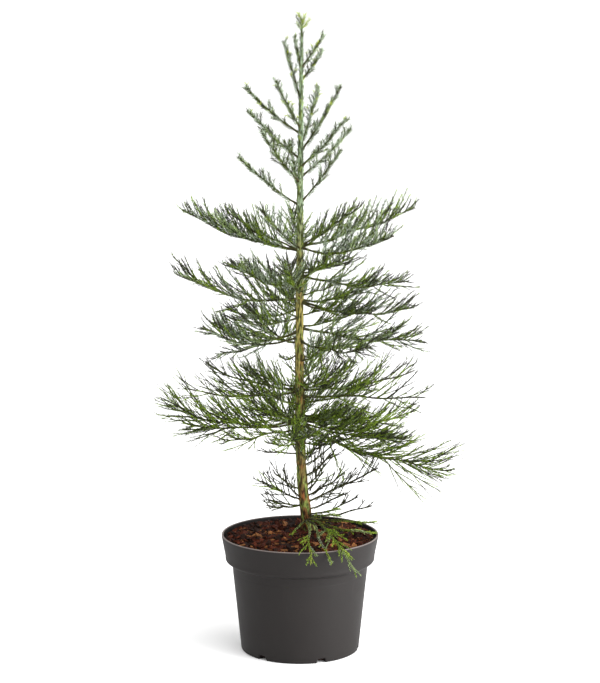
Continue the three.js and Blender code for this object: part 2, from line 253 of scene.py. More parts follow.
# Leaves.
LEAF_HALF_WIDTH = 0.16
LEAF_KEEL = 0.17
LEAF_KEEL_AHEAD = 0.25
LEAF_ANGLE_SPREAD = 12.0
LEAF_SIZE_LEAST = 0.8
LEAF_SIZE_SPREAD = 0.4
LEAF_SUNK = 0.7
LEAST_LEAVES = 3
MOST_LEAVES = 45000
FRESH_FROM = 0.72
FRESH_CHANCE = 0.38
FRESH_HEIGHT = 640.0
DUSK_FROM = 0.45
DUSK_RATE = 1.5
WAX_SHEEN = {"bloom": 0.12, "sage": 0.05}
AWL_FACES = np.array([(0, 3, 2), (2, 3, 1), (1, 3, 0), (0, 2, 1)])

# Camera and light.
CAMERA_PITCH = 8.6
SENSOR_WIDTH = 36.0
FLOOR_REACH = 8000.0
KEY_TURN = (50.0, 0.0, 64.0)
KEY_SOFTNESS = 85.0
SIDE_LIGHT_PLACE = np.array([1100.0, -600.0, 300.0])
SIDE_LIGHT_TURN = (80.0, 0.0, 61.0)
SIDE_LIGHT_SIZE = 800.0


class Draw:
    """Keys that tell one kind of draw by chance from another."""

    ROLL = 1
    LEAN = 2
    LENGTH = 3
    SIDE_PLACE = 4
    SIDE_ROLL = 5
    SIDE_LEAN = 6
    SIDE_LENGTH = 7
    LEAF_TURN = 8
    LEAF_ANGLE = 9
    LEAF_SIZE = 10
    SPRAY = 11
    TIP = 12
    GROWN = 13
    SHADED = 14
    HANGING = 15
    BENDS = 20
    BEND_PHASE = 23


class Bough(NamedTuple):
    """A bough: its tier, the height where it leaves the trunk, its azimuth, its tip's reach and rise, the
    sag of its middle, its longest twig and its bare length."""

    tier: str
    height: float
    azimuth: float
    reach: float
    rise: float
    sag: float
    twig: float
    bare: float


# Boughs by tier, from the top down. A bough's place in this order is its key for chance.
BOUGHS = [
    Bough(tier, *row)
    for tier, *rows in [
        ("leader", (742, 80, 3, 15, 0, 18, 0.5)),
        (
            "top",
            (703, -25, 29, 37, 2, 11, 5), (667, 160, 22, 65, 1, 14, 6), (632, 230, 45, 55, 3, 12, 8),
            (625, 178, 66, 54, 4, 15, 12), (611, 65, 52, 68, 2, 15, 8), (605, 10, 48, 74, 3, 16, 10),
            (595, 142, 81, 55, 3, 17, 12), (586, -38, 68, 58, 3, 16, 12), (574, 38, 77, 54, 4, 17, 12),
            (568, 222, 62, 62, 4, 20, 12), (556, 100, 76, 56, 4, 19, 12), (544, -12, 49, 62, 3, 19, 14),
            (540, 172, 74, 56, 4, 19, 16),
        ),
        (
            "upper",
            (491, 14, 143, 43, 5, 56, 16), (489, -35, 132, 22, 12, 56, 26), (489, 238, 83, 50, 4, 34, 8),
            (486, 172, 142, 46, 8, 52, 10), (484, 95, 110, 42, 6, 44, 10),
        ),
        (
            "middle",
            (465, 55, 108, 4, 8, 58, 14), (456, -20, 137, -1, 9, 54, 24), (444, 140, 113, 17, 6, 50, 12),
            (435, 262, 98, 46, 5, 52, 8), (427, 194, 153, 36, 12, 74, 16), (426, 42, 120, 7, 8, 66, 12),
            (424, -24, 147, 1, 10, 70, 24), (415, 164, 92, -4, 9, 44, 12), (411, 96, 120, 30, 10, 70, 12),
            (405, 218, 104, 8, 8, 46, 12),
        ),
        (
            "waist",
            (392, -10, 148, -11, 5, 76, 16), (389, 205, 125, 12, 17, 64, 24),
            (377, -55, 140, 10, 9, 76, 14), (375, 122, 125, 26, 12, 80, 14),
        ),
        (
            "lower",
            (328, 82, 135, 18, 10, 84, 14), (322, 298, 94, 27, 6, 66, 10), (318, 145, 143, 20, 10, 50, 14),
            (317, 4, 140, 22, 8, 72, 14), (309, -28, 167, 12, 0, 80, 24), (315, 190, 140, 8, 8, 74, 16),
        ),
        (
            "bottom",
            (281, 174, 167, 22, 20, 84, 24), (279, 24, 155, 0, 10, 54, 14),
            (274, -18, 189, -45, 10, 84, 24), (273, 105, 138, 4, 8, 84, 14), (269, 212, 107, -5, 1, 44, 24),
            (266, 262, 88, 6, 5, 60, 10),
        ),
        ("foot", (178, 155, 58, 19, 1, 34, 8), (176, -8, 90, 45, 1, 32, 10)),
        ("trail", (153, -65, 135, -35, -30, 27, 72)),
        ("foot", (166, 28, 54, 15, 2, 26, 8)),
        # Young shoots too thin for solids of their own, among the boughs and round the trunk's foot.
        ("top", (703, 200, 9, 35, 0, 8, 4), (688, 35, 31, 34, 2, 10, 5)),
        ("sprout", (362, 168, 24, -5, 6, 20, 3), (360, 30, 36, 2, 6, 22, 3)),
        ("foot", (238, 195, 45, 4, 0, 18, 8), (195, 50, 44, 22, 3, 30, 4), (173, 192, 47, 1, 3, 26, 6)),
        (
            "trail",
            (153, -110, 52, -6, -6, 8, 40), (153, -88, 132, -21, -20, 24, 84),
            (153, -26, 94, -6, -3, 14, 62),
        ),
        ("foot", (155, -4, 80, 17, 2, 14, 52)),
        ("trail", (153, -77, 126, -25, -22, 9, 98), (155, -13, 88, 1, -3, 15, 58)),
        (
            "foot",
            (160, 8, 58, 17, 4, 22, 24), (236, 14, 42, 22, 3, 32, 3), (222, -24, 40, 28, 2, 28, 3),
            (184, -18, 52, 32, 2, 26, 4), (172, 176, 44, 6, 2, 32, 6),
        ),
        (
            "sprout",
            (300, -132, 62, 24, 4, 44, 6), (352, -46, 54, 30, 4, 40, 6), (262, -78, 72, 18, 5, 48, 6),
            (404, -136, 54, 36, 3, 38, 6), (452, -44, 50, 32, 3, 34, 6), (250, 182, 42, 2, 3, 24, 8),
        ),
        ("foot", (208, -30, 44, 34, 2, 28, 4), (192, 202, 38, 24, 2, 27, 4), (180, 150, 30, 22, 2, 24, 4)),
        (
            "sprout",
            (487, 186, 88, 46, 5, 50, 22), (488, -12, 46, 34, 2, 34, 4), (286, -38, 96, 14, 6, 46, 10),
            (300, 10, 98, 22, 3, 54, 6), (284, -6, 92, 2, 5, 54, 6), (258, -104, 40, 14, 3, 34, 4),
            (282, -23, 142, -14, 6, 50, 8), (262, -40, 54, -2, 4, 38, 3), (252, -8, 46, 2, 4, 34, 3),
            (458, -26, 44, 14, 2, 30, 5), (432, -20, 48, 16, 2, 34, 5), (408, -12, 46, 14, 2, 34, 4),
            (320, 160, 78, 22, 4, 52, 6), (314, 196, 64, 24, 3, 48, 6), (492, 12, 76, 46, 2, 48, 10),
        ),
        ("bottom", (277, 178, 142, -2, 8, 54, 48), (276, -12, 128, -12, 6, 74, 26)),
        ("sprout", (322, -8, 62, 26, 3, 48, 4), (306, -30, 48, 22, 3, 40, 4), (394, -4, 70, 18, 3, 46, 8)),
        ("foot", (226, 10, 24, 26, 1, 26, 2), (188, 20, 26, 24, 1, 26, 2)),
        ("trail", (158, -28, 44, 5, -3, 22, 10), (160, -6, 42, 8, -2, 22, 10)),
        (
            "upper",
            (487, 177, 108, 34, 6, 54, 30), (388, 204, 114, 17, 15, 44, 50), (440, 213, 88, 32, 6, 48, 14),
        ),
        ("middle", (424, -30, 96, -6, 8, 40, 40)),
        ("waist", (380, 204, 108, -14, 0, 34, 30)),
    ]
    for row in rows
]
BOUGHS += [
    Bough(
        bough.tier,
        bough.height + INNER_ABOVE,
        azimuth,
        bough.reach * INNER_REACH,
        bough.rise * INNER_REACH + INNER_RISE,
        bough.sag * INNER_REACH,
        bough.twig * INNER_TWIG,
        INNER_BARE,
    )
    for order, bough in enumerate(BOUGHS)
    for azimuth in [bough.azimuth + (INNER_TURN if order % 2 else -INNER_TURN)]
    if bough.tier == INNER_TIER and abs((azimuth - FRONT + 180) % 360 - 180) > FRONT_CLEAR
]
BOUGHS += [
    Bough("sprout", TUFT_FROM + TUFT_PITCH * n, np.degrees(GOLDEN_TURN) * n, *TUFT_SHOOT)
    for n in range(TUFTS)
]


class Habit(NamedTuple):
    """How a tier grows: how its twigs lean at the root and tip of a bough, spread round it, hang, lift and
    shorten; how many minor and finer twigs grow and how they thin out along it; its side shoots' pitch,
    length share, lean and lift; its leaves' size, angle, pitch and swelling towards a tip; how boughs
    wander; how many shoot tips and leaves darken; and the shares of its sprays' colours near the trunk and
    at the tips. What a tier leaves out is as in a young sprout."""

    lean: float = 50
    tip_lean: float = 26
    spread: float = 80
    hanging: float = 0
    lift: float = 0.4
    shortening: float = 0.65
    minor: float = 0.9
    finer: float = 0.55
    thinning: float = 0.3
    side_pitch: float = 7.5
    side_share: float = 0.56
    side_lean: float = 20
    side_lift: float = 0.1
    leaf_size: float = 0.9
    leaf_angle: float = 16
    leaf_pitch: float = 1.15
    swell: float = -0.2
    wander: float = 1
    dusk: float = 0.6
    dapple: float = 0.1
    inner: tuple = (0.05, 0.2, 0.65, 0.1, 0, 0)
    outer: tuple = (0.05, 0.2, 0.45, 0.2, 0.1, 0)


# Colours of sprays, in the order of the shares in a habit.
SPRAYS = ("bloom", "sage", "green", "deep", "dusk", "fresh")
HABITS = {
    "leader": Habit(
        lean=46, tip_lean=30, lift=0.1, shortening=0.5, minor=1, finer=0.8, thinning=0, side_pitch=2.8,
        side_share=0.36, side_lean=42, side_lift=0.2, leaf_size=1.25, leaf_angle=44, leaf_pitch=0.85,
        swell=0.3, wander=0, dusk=0, inner=(0.5, 0.2, 0, 0.05, 0, 0.25), outer=(0.35, 0.1, 0, 0.1, 0, 0.45),
    ),
    "stem": Habit(
        leaf_size=1.5, leaf_angle=30, leaf_pitch=1.3, swell=0, dusk=0, dapple=0.46,
        inner=(0.7, 0.1, 0, 0.15, 0, 0.05), outer=(0.7, 0.1, 0, 0.15, 0, 0.05),
    ),
    "top": Habit(
        lean=48, tip_lean=44, spread=110, shortening=0.5, minor=0.72, finer=0, thinning=0, side_pitch=6,
        side_share=0.26, side_lean=46, side_lift=0.3, leaf_size=1.15, leaf_angle=38, leaf_pitch=0.8,
        swell=0.35, wander=0.4, dusk=0, dapple=0.46, inner=(0.5, 0.15, 0, 0.2, 0.15, 0),
        outer=(0.74, 0.14, 0, 0.08, 0.04, 0),
    ),
    "upper": Habit(
        lean=53, tip_lean=33, lift=0.46, shortening=0.35, finer=0.36, thinning=0, side_pitch=4.2,
        side_share=0.22, side_lean=36, side_lift=0.2, leaf_angle=28, leaf_pitch=0.95, swell=0.35, dusk=0.4,
        dapple=0.22, inner=(0.42, 0.33, 0.2, 0.05, 0, 0), outer=(0.5, 0.3, 0.12, 0.08, 0, 0),
    ),
    "middle": Habit(
        tip_lean=28, spread=85, hanging=0.04, lift=0.38, shortening=0.42, minor=0.75, finer=0.4, thinning=0,
        side_pitch=5, side_share=0.32, side_lean=17, side_lift=0.08, leaf_angle=17, leaf_pitch=1.05,
        swell=-0.1, dusk=0.8, dapple=0.2, inner=(0.26, 0.34, 0.36, 0.04, 0, 0),
        outer=(0.22, 0.28, 0.28, 0.12, 0.1, 0),
    ),
    "waist": Habit(
        lean=48, tip_lean=28, spread=86, hanging=0.2, lift=0.36, shortening=0.45, minor=0.85, finer=0.45,
        thinning=0, side_pitch=5.5, side_share=0.4, side_lean=18, side_lift=0.06, leaf_angle=14,
        leaf_pitch=1.05, swell=-0.1, dusk=0.7, dapple=0.18, inner=(0.15, 0.3, 0.45, 0.1, 0, 0),
        outer=(0.3, 0.3, 0.15, 0.1, 0.15, 0),
    ),
    "lower": Habit(
        lean=48, tip_lean=24, hanging=0.12, shortening=0.6, minor=0.65, finer=0.4, thinning=1,
        side_pitch=12, side_share=0.68, side_lean=19, side_lift=0.06, leaf_angle=9, leaf_pitch=1.2,
        dusk=0.9, inner=(0, 0.1, 0.8, 0.1, 0, 0), outer=(0, 0.15, 0.45, 0.2, 0.2, 0),
    ),
    "bottom": Habit(
        lean=48, spread=82, hanging=0.26, lift=0.36, shortening=0.35, minor=0.85, finer=0.5, thinning=0,
        side_pitch=11, side_share=0.68, side_lean=17, side_lift=0.05, leaf_angle=9, leaf_pitch=1.2,
        dusk=0.5, inner=(0, 0.05, 0.85, 0.1, 0, 0), outer=(0, 0.15, 0.55, 0.15, 0.15, 0),
    ),
    "foot": Habit(
        lean=44, tip_lean=32, spread=110, lift=0.25, shortening=0.15, minor=0.2, finer=0.04, side_pitch=11,
        side_share=0.8, side_lean=24, leaf_size=1.08, leaf_angle=4, leaf_pitch=0.85, dusk=0.9,
        inner=(0, 0.02, 0.08, 0.35, 0.55, 0), outer=(0, 0, 0, 0.1, 0.9, 0),
    ),
    "trail": Habit(
        lift=-0.2, shortening=0.5, minor=0.45, finer=0.2, thinning=0, side_pitch=6, side_share=0.4,
        side_lean=28, side_lift=0, leaf_size=0.8, leaf_angle=17, leaf_pitch=0.95, swell=-0.1, dusk=0,
        dapple=0.16, inner=(0, 0.2, 0.6, 0.1, 0, 0.1), outer=(0.1, 0.35, 0.45, 0, 0, 0.1),
    ),
    "sprout": Habit(),
}
TIERS = list(HABITS)


def linear(code):
    """Linear RGBA of an sRGB hex colour: c / 12.92 up to 0.04045, else ((c + 0.055) / 1.055) ^ 2.4."""
    srgb = np.array([int(code[i : i + 2], 16) for i in (1, 3, 5)]) / 255
    flat = np.where(srgb <= 0.04045, srgb / 12.92, ((srgb + 0.055) / 1.055) ** 2.4)
    return (*(float(value) for value in flat), 1.0)


def length_property(name, description, default):
    """A length in metres that a user may change, at least 0.1 mm."""
    return FloatProperty(name=name, description=description, default=default, min=0.0001, unit="LENGTH")


def strength_property(name, description, default):
    """A strength of light that a user may change."""
    return FloatProperty(name=name, description=description, default=default, min=0.0)


def colour_property(name, description, code):
    """A colour that a user may change, given as an sRGB hex value."""
    return FloatVectorProperty(
        name=name, description=description, default=linear(code), size=4, min=0.0, max=1.0, subtype="COLOR"
    )


class SequoiaPotSettings(PropertyGroup):
    """Sizes and colour of the nursery pot."""

    rim_radius: length_property("Rim radius", "Outer radius of the pot's rim", float(POT_HIGH[0]))
    height: length_property("Height", "Height of the pot's rim above its underside", float(POT_HIGH[2]))
    base_radius: length_property("Base radius", "Radius of the foot of the wall", 0.0715)
    wall_top_radius: length_property("Wall top radius", "Radius of the wall under the collar", 0.0825)
    wall_top: length_property("Wall top", "Height where the wall turns out to the collar", 0.107)
    collar_radius: length_property("Collar radius", "Radius of the foot of the collar", 0.0905)
    collar_foot: length_property("Collar foot", "Height where the collar starts", 0.116)
    wall: length_property("Wall thickness", "Thickness of the moulded wall", 0.0022)
    drain_holes: IntProperty(
        name="Drain holes", description="Notches round the base corner", default=6, min=1
    )
    colour: colour_property("Plastic", "Colour of the moulded plastic", "#1b1817")


class SequoiaCompostSettings(PropertyGroup):
    """Levels, chips and colours of the compost."""

    top: length_property("Top", "Height of the compost round the trunk", 0.139)
    edge: length_property("Edge", "Height of the compost at the pot's wall", 0.1375)
    chips: IntProperty(name="Bark chips", description="Loose chips on the compost", default=3000, min=10)
    fines: colour_property("Fines", "Colour of the fine compost between the chips", "#1a0a05")
    dark_chip: colour_property("Dark chip", "Colour of the wettest chips", "#1e0e07")
    red_chip: colour_property("Red chip", "Colour of the fresh red chips", "#3e190b")
    pale_chip: colour_property("Pale chip", "Colour of the driest chips", "#6b4526")


class SequoiaBarkSettings(PropertyGroup):
    """Relief and colours of the trunk, boughs and twigs."""

    ridge: length_property("Ridge", "Height of the bark's ridges at the foot of the trunk", 0.00055)
    foot_colour: colour_property("Foot bark", "Colour of the oldest bark", "#4a3519")
    patch_colour: colour_property("Bare patch", "Colour where old scales have peeled", "#6b4123")
    film_colour: colour_property("Green flecks", "Colour of the green skin between the scales", "#66763a")
    middle_colour: colour_property("Middle bark", "Colour of the two-year-old stem", "#8c834a")
    leader_colour: colour_property("Leader bark", "Colour of this year's stem", "#6e8066")
    bough_colour: colour_property("Bough bark", "Colour of the boughs", "#37351c")
    twig_colour: colour_property("Twig bark", "Colour of the fine twigs", "#25271a")


class SequoiaLeafSettings(PropertyGroup):
    """Size and colours of the scale leaves."""

    leaf_length: length_property("Leaf length", "Length of one scale leaf", 0.0030)
    leaf_pitch: length_property("Leaf pitch", "Distance along a shoot from leaf to leaf", 0.0009)
    bloom: colour_property("Bloom", "Waxy grey-green of the youngest sprays", "#93a287")
    sage: colour_property("Sage", "Grey-green of the upper sprays", "#84985f")
    green: colour_property("Green", "Bright green of the inner sprays", "#779224")
    deep: colour_property("Deep green", "Dark green of the shaded sprays", "#3b4618")
    dusk: colour_property("Dusk", "Dark olive of the outermost shoots", "#2d2d20")
    fresh: colour_property("Fresh green", "Yellow-green of the growing tips", "#9aab3c")


class SequoiaStageSettings(PropertyGroup):
    """Floor, light and camera."""

    floor_colour: colour_property("Floor", "Colour of the plain floor", "#ffffff")
    sky_strength: strength_property("Surround", "Strength of the white surround", 1.1)
    key_strength: strength_property("Key light", "Strength of the soft key light", 2.3)
    side_strength: strength_property("Side light", "Power of the low side light", 28.0)
    camera_distance: length_property("Camera distance", "Distance of the camera in front of the pot", 2.4)
    camera_height: length_property("Camera height", "Height of the camera above the floor", 0.74)
    focal_length: FloatProperty(
        name="Lens", description="Focal length", default=107.05, min=1, unit="CAMERA"
    )


def add_node(material, kind, inputs=None, stops=(), output=None, **settings):
    """Adds a shader node of a kind to a material and gives its named output, or else the first one in use:
    settings are its properties, inputs are values or links, and stops are the places and colours of its
    ramp, from low to high."""
    node = material.node_tree.nodes.new(f"ShaderNode{kind}")
    for key, value in settings.items():
        setattr(node, key, value)
    for key, value in (inputs or {}).items():
        if isinstance(value, NodeSocket):
            material.node_tree.links.new(value, node.inputs[key])
        else:
            node.inputs[key].default_value = value
    for order, (position, colour) in enumerate(stops):
        elements = node.color_ramp.elements
        element = elements[order] if order < 2 else elements.new(position)
        element.position = position
        element.color = colour
    if output:
        return node.outputs[output]
    return next((socket for socket in node.outputs if socket.enabled), None)


def new_material(name):
    """An empty node material, and the function that adds a node to it."""
    material = bpy.data.materials.new(name)
    material.use_nodes = True
    material.node_tree.nodes.clear()
    return material, partial(add_node, material)


def per_mm(millimetres):
    """Noise scale, in cycles a metre, whose features are that many millimetres wide."""
    return MM / millimetres


def shade(colour, factor):
    """A linear colour made darker or lighter by a factor."""
    return (*(min(1.0, channel * factor) for channel in colour[:3]), 1.0)


def grey(value):
    """A neutral colour for a mask or a roughness."""
    return (value, value, value, 1.0)


def moulded_polypropylene(pot):
    """Recycled polypropylene, injection moulded in a spark-eroded tool."""
    # To the eye it is satin charcoal, faintly clouded and scuffed, with a fine grain that breaks up
    # highlights. A pale band along its lip is a painted highlight.
    material, add = new_material("moulded_polypropylene")
    place = add("TexCoord", output="Object")
    cloud = add("TexNoise", {"Vector": place, "Scale": per_mm(45), "Detail": 4.0})
    # The real grain is about 0.2 mm: it is drawn at 0.9 mm so that it shows.
    grain = add("TexNoise", {"Vector": place, "Scale": per_mm(0.9), "Detail": 2.0})
    tall = add("Mapping", {"Vector": place, "Scale": (1.0, 1.0, 0.12)})
    scuff = add("TexNoise", {"Vector": tall, "Scale": per_mm(9), "Detail": 6.0})
    base = add("ValToRGB", {"Fac": cloud}, [(0.3, shade(pot.colour, 0.88)), (0.7, shade(pot.colour, 1.15))])
    worn = add("ValToRGB", {"Fac": scuff}, [(0.62, grey(0.0)), (0.8, grey(0.35))])
    mixed = add("Mix", {"Factor": worn, "A": base, "B": shade(pot.colour, 2.0)}, data_type="RGBA")
    height = add("SeparateXYZ", {"Vector": place}, output="Z")
    # Painted highlight: a thin band at the top of the lip is made sixteen times paler than the plastic.
    lip_highlight_range = {"From Min": pot.height - LIP_HIGHLIGHT_BAND / MM, "From Max": pot.height}
    lip = add("MapRange", {"Value": height, **lip_highlight_range})
    lip_highlighted = add("Mix", {"Factor": lip, "A": mixed, "B": shade(pot.colour, 16.0)}, data_type="RGBA")
    rough = add("ValToRGB", {"Fac": cloud}, [(0.3, grey(0.54)), (0.7, grey(0.66))])
    bump = add("Bump", {"Height": grain, "Strength": 0.12, "Distance": 0.0004})
    gloss = {"Roughness": rough, "IOR": 1.49, "Specular IOR Level": 0.19}
    skin = add("BsdfPrincipled", {"Base Color": lip_highlighted, "Normal": bump, **gloss})
    add("OutputMaterial", {"Surface": skin})
    return material


def composted_bark(name, colour):
    """Conifer bark, chipped and composted."""
    # To the eye it is damp, dull and crumbly, and darker in its hollows, which is painted shade.
    material, add = new_material(name)
    place = add("TexCoord", output="Object")
    crumb = add("TexNoise", {"Vector": place, "Scale": per_mm(2.2), "Detail": 6.0})
    patch = add("TexNoise", {"Vector": place, "Scale": per_mm(14), "Detail": 3.0})
    # Painted shade: the crumb noise that raises the bump also darkens the colour where it is low, in the
    # hollows; the larger patches vary the tone.
    tone = add("Math", {0: crumb, 1: patch}, operation="MULTIPLY")
    tones = [(0.12, shade(colour, 0.45)), (0.26, colour), (0.42, shade(colour, 2.1))]
    base = add("ValToRGB", {"Fac": tone}, tones)
    bump = add("Bump", {"Height": crumb, "Strength": 0.7, "Distance": 0.0012})
    gloss = {"Roughness": 0.82, "IOR": 1.45, "Specular IOR Level": 0.15}
    skin = add("BsdfPrincipled", {"Base Color": base, "Normal": bump, **gloss})
    add("OutputMaterial", {"Surface": skin})
    return material


def young_sequoia_bark(bark):
    """Thin fibrous bark, grown: brown at the foot, olive half way up and green on the leader."""
    # To the eye it is streaked along the stem and flecked with green, with rusty patches low down where old
    # scales have peeled.
    material, add = new_material("young_sequoia_bark")
    place = add("TexCoord", output="Object")
    height = add("SeparateXYZ", {"Vector": place}, output="Z")
    trunk_range = {"From Min": float(TRUNK_LOW[2]), "From Max": float(TRUNK_HIGH[2])}
    rise = add("MapRange", {"Value": height, **trunk_range})
    fibres = add("Mapping", {"Vector": place, "Scale": (1.0, 1.0, 0.28)})
    streak = add("TexNoise", {"Vector": fibres, "Scale": per_mm(2.2), "Detail": 5.0})
    peel = add("TexNoise", {"Vector": fibres, "Scale": per_mm(11), "Detail": 3.0})
    drift = add("Math", {0: peel, 1: 0.3, 2: rise}, operation="MULTIPLY_ADD")
    olive = [(0.36, shade(bark.middle_colour, 0.52)), (0.6, bark.middle_colour)]
    age = add("ValToRGB", {"Fac": drift}, [(0.2, bark.foot_colour), *olive, (0.86, bark.leader_colour)])
    bare = add("ValToRGB", {"Fac": peel}, [(0.56, grey(0.0)), (0.66, grey(1.0))])
    low = add("ValToRGB", {"Fac": rise}, [(0.42, grey(1.0)), (0.62, grey(0.0))])
    where = add("Math", {0: bare, 1: low}, operation="MULTIPLY")
    peeled = add("Mix", {"Factor": where, "A": age, "B": bark.patch_colour}, data_type="RGBA")
    flecks = add("TexNoise", {"Vector": fibres, "Scale": per_mm(5), "Detail": 3.0})
    film = add("ValToRGB", {"Fac": flecks}, [(0.5, grey(0.0)), (0.58, grey(0.85))])
    mottled = add("Mix", {"Factor": film, "A": peeled, "B": bark.film_colour}, data_type="RGBA")
    furrows = [(0.42, (0.17, 0.16, 0.12, 1.0)), (0.57, (1.45, 1.4, 1.35, 1.0))]
    dark = add("ValToRGB", {"Fac": streak}, furrows)
    layers = {"Factor": 0.9, "A": mottled, "B": dark}
    streaked = add("Mix", layers, data_type="RGBA", blend_type="MULTIPLY")
    bump = add("Bump", {"Height": streak, "Strength": 0.5, "Distance": 0.0008})
    gloss = {"Roughness": 0.78, "IOR": 1.45, "Specular IOR Level": 0.2}
    skin = add("BsdfPrincipled", {"Base Color": streaked, "Normal": bump, **gloss})
    add("OutputMaterial", {"Surface": skin})
    return material


def shoot_bark(name, colour):
    """Thin bark of boughs and twigs, grown over the scars of old leaves."""
    # To the eye it is dull and mottled every few millimetres.
    material, add = new_material(name)
    place = add("TexCoord", output="Object")
    scars = add("TexNoise", {"Vector": place, "Scale": per_mm(3.5), "Detail": 4.0})
    tones = [(0.3, shade(colour, 0.6)), (0.5, colour), (0.72, shade(colour, 1.5))]
    base = add("ValToRGB", {"Fac": scars}, tones)
    bump = add("Bump", {"Height": scars, "Strength": 0.5, "Distance": 0.0006})
    gloss = {"Roughness": 0.75, "IOR": 1.45, "Specular IOR Level": 0.2}
    skin = add("BsdfPrincipled", {"Base Color": base, "Normal": bump, **gloss})
    add("OutputMaterial", {"Surface": skin})
    return material


def waxy_leaf_skin(name, colour, bloom):
    """Leaf skin under a film of wax, grown: one plain green for each spray."""
    # To the eye it is half matt, uneven in gloss, and pale at its edges where the wax lies thick.
    material, add = new_material(name)
    place = add("TexCoord", output="Object")
    wax = add("TexNoise", {"Vector": place, "Scale": per_mm(6), "Detail": 2.0})
    rough = add("ValToRGB", {"Fac": wax}, [(0.3, grey(0.45)), (0.7, grey(0.62))])
    gloss = {"Roughness": rough, "IOR": 1.4, "Specular IOR Level": 0.2}
    film = {"Sheen Weight": bloom, "Sheen Roughness": 0.5}
    skin = add("BsdfPrincipled", {"Base Color": colour, **film, **gloss})
    add("OutputMaterial", {"Surface": skin})
    return material


def painted_board(colour):
    """Board painted matt white, for the floor."""
    # To the eye it is even and without gloss.
    material, add = new_material("matt_painted_board")
    paint = add("BsdfPrincipled", {"Base Color": colour, "Roughness": 0.9, "IOR": 1.45})
    add("OutputMaterial", {"Surface": paint})
    return material


def mesh_object(name, points, faces, material, smooth):
    """Puts points in millimetres and arrays of triangles or quads into a new object at the origin."""
    mesh = bpy.data.meshes.new(name)
    mesh.vertices.add(len(points))
    mesh.vertices.foreach_set("co", (np.asarray(points) / MM).astype(np.float32).ravel())
    corners = np.concatenate([part.ravel() for part in faces]).astype(np.int32)
    sizes = np.concatenate([np.full(len(part), part.shape[1]) for part in faces])
    starts = np.concatenate([[0], np.cumsum(sizes)[:-1]]).astype(np.int32)
    mesh.loops.add(len(corners))
    mesh.loops.foreach_set("vertex_index", corners)
    mesh.polygons.add(len(sizes))
    mesh.polygons.foreach_set("loop_start", starts)
    mesh.polygons.foreach_set("use_smooth", np.full(len(sizes), smooth))
    mesh.update(calc_edges=True)
    mesh.materials.append(material)
    thing = bpy.data.objects.new(name, mesh)
    bpy.context.scene.collection.objects.link(thing)
    return thing


def plant_piece(name, surface, material, nodes, smooth=True):
    """A piece of the plant or its pot, from its points and faces: it rides on the plant, takes a finish and
    stands for some solids."""
    piece = mesh_object(name, *surface, material, smooth)
    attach(piece, "root")
    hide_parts(*nodes)


def tube_faces(rings, sides):
    """Faces of a closed tube whose corners come ring by ring, then one point at its root and one at its
    tip: quads between neighbouring rings, and triangles from the end rings to those points."""
    ring, side = np.meshgrid(np.arange(rings - 1) * sides, np.arange(sides), indexing="ij")
    step = (side + 1) % sides
    quads = np.stack([ring + side, ring + step, ring + sides + step, ring + sides + side], -1).reshape(-1, 4)
    side, step, last = side[0], step[0], (rings - 1) * sides
    root = np.full(sides, rings * sides)
    ends = [np.stack([root, step, side], -1), np.stack([last + side, last + step, root + 1], -1)]
    return [quads, np.concatenate(ends)]


def repeated(faces, count, corners):
    """The faces of one small shape, repeated for a row of shapes of that many corners."""
    return (faces[None] + (np.arange(count) * corners)[:, None, None]).reshape(-1, faces.shape[1])


def chance(*keys):
    """Seeded numbers from 0 to 1, by multiplying and folding 32-bit words of the seed and the keys."""
    state = np.uint64(SEED)
    for key in keys:
        state = state ^ (np.asarray(key, np.uint64) + SALT)
        for factor, fold in MIXING:
            state = (state * factor) & WORD
            state = state ^ (state >> fold)
    return state / (float(WORD) + 1)


def unit(vectors):
    """Vectors scaled to length one."""
    return vectors / np.maximum(np.linalg.norm(vectors, axis=-1, keepdims=True), 1e-9)


def waves(seed, count, turns, drifts):
    """Whole-number waves round a stem that drift with height: turn, drift, phase and weight of each."""
    rng = np.random.default_rng(seed)
    turn = rng.integers(turns[0], turns[1], count)
    drift = rng.uniform(-drifts, drifts, count)
    phase = rng.uniform(0, FULL_TURN, count)
    return turn, drift, phase, rng.uniform(0.5, 1.0, count) / np.sqrt(count)


def wave_sum(kinds, angle, height):
    """Sum of weight * sin(turn * angle + drift * height + phase) over all waves."""
    turn, drift, phase, weight = (values[:, None, None] for values in kinds)
    return (weight * np.sin(turn * angle[None] + drift * height[None] + phase)).sum(0)


def bezier(ends, share):
    """Quadratic curve (1 - t)^2 a + 2 t (1 - t) b + t^2 c for arrays of ends and shares."""
    t = np.asarray(share)[..., None]
    return (1 - t) ** 2 * ends[0] + 2 * t * (1 - t) * ends[1] + t**2 * ends[2]


def bezier_slope(ends, share):
    """Unit tangent of the quadratic curve: (1 - t)(b - a) + t (c - b), made length one."""
    t = np.asarray(share)[..., None]
    return unit((1 - t) * (ends[1] - ends[0]) + t * (ends[2] - ends[1]))


def even_shares(ends, share):
    """Curve parameters at shares of the curve's length, and the length, from short chords."""
    t = np.linspace(0, 1, CHORDS + 1)
    run = np.concatenate([[0], np.cumsum(np.linalg.norm(np.diff(bezier(ends, t), axis=0), axis=1))])
    return np.interp(share, run / run[-1], t), run[-1]


def turned(first, second, angle):
    """Directions first * cos(angle) + second * sin(angle), turned from the first towards the second."""
    return first * np.cos(angle)[..., None] + second * np.sin(angle)[..., None]


def polar(radius, angle, height):
    """Points at a radius and an angle round the upright axis, at a height."""
    return np.stack(np.broadcast_arrays(radius * np.cos(angle), radius * np.sin(angle), height), -1)


def frames_along(ends, share):
    """Directions of each curve at shares of it: along it, across it level with the ground, and square to
    both."""
    along = bezier_slope(ends, share)
    reference = np.where(np.abs(along[..., 2:]) > STEEP, (1.0, 0.0, 0.0), UP)
    across = unit(np.cross(along, reference))
    return along, across, np.cross(across, along)


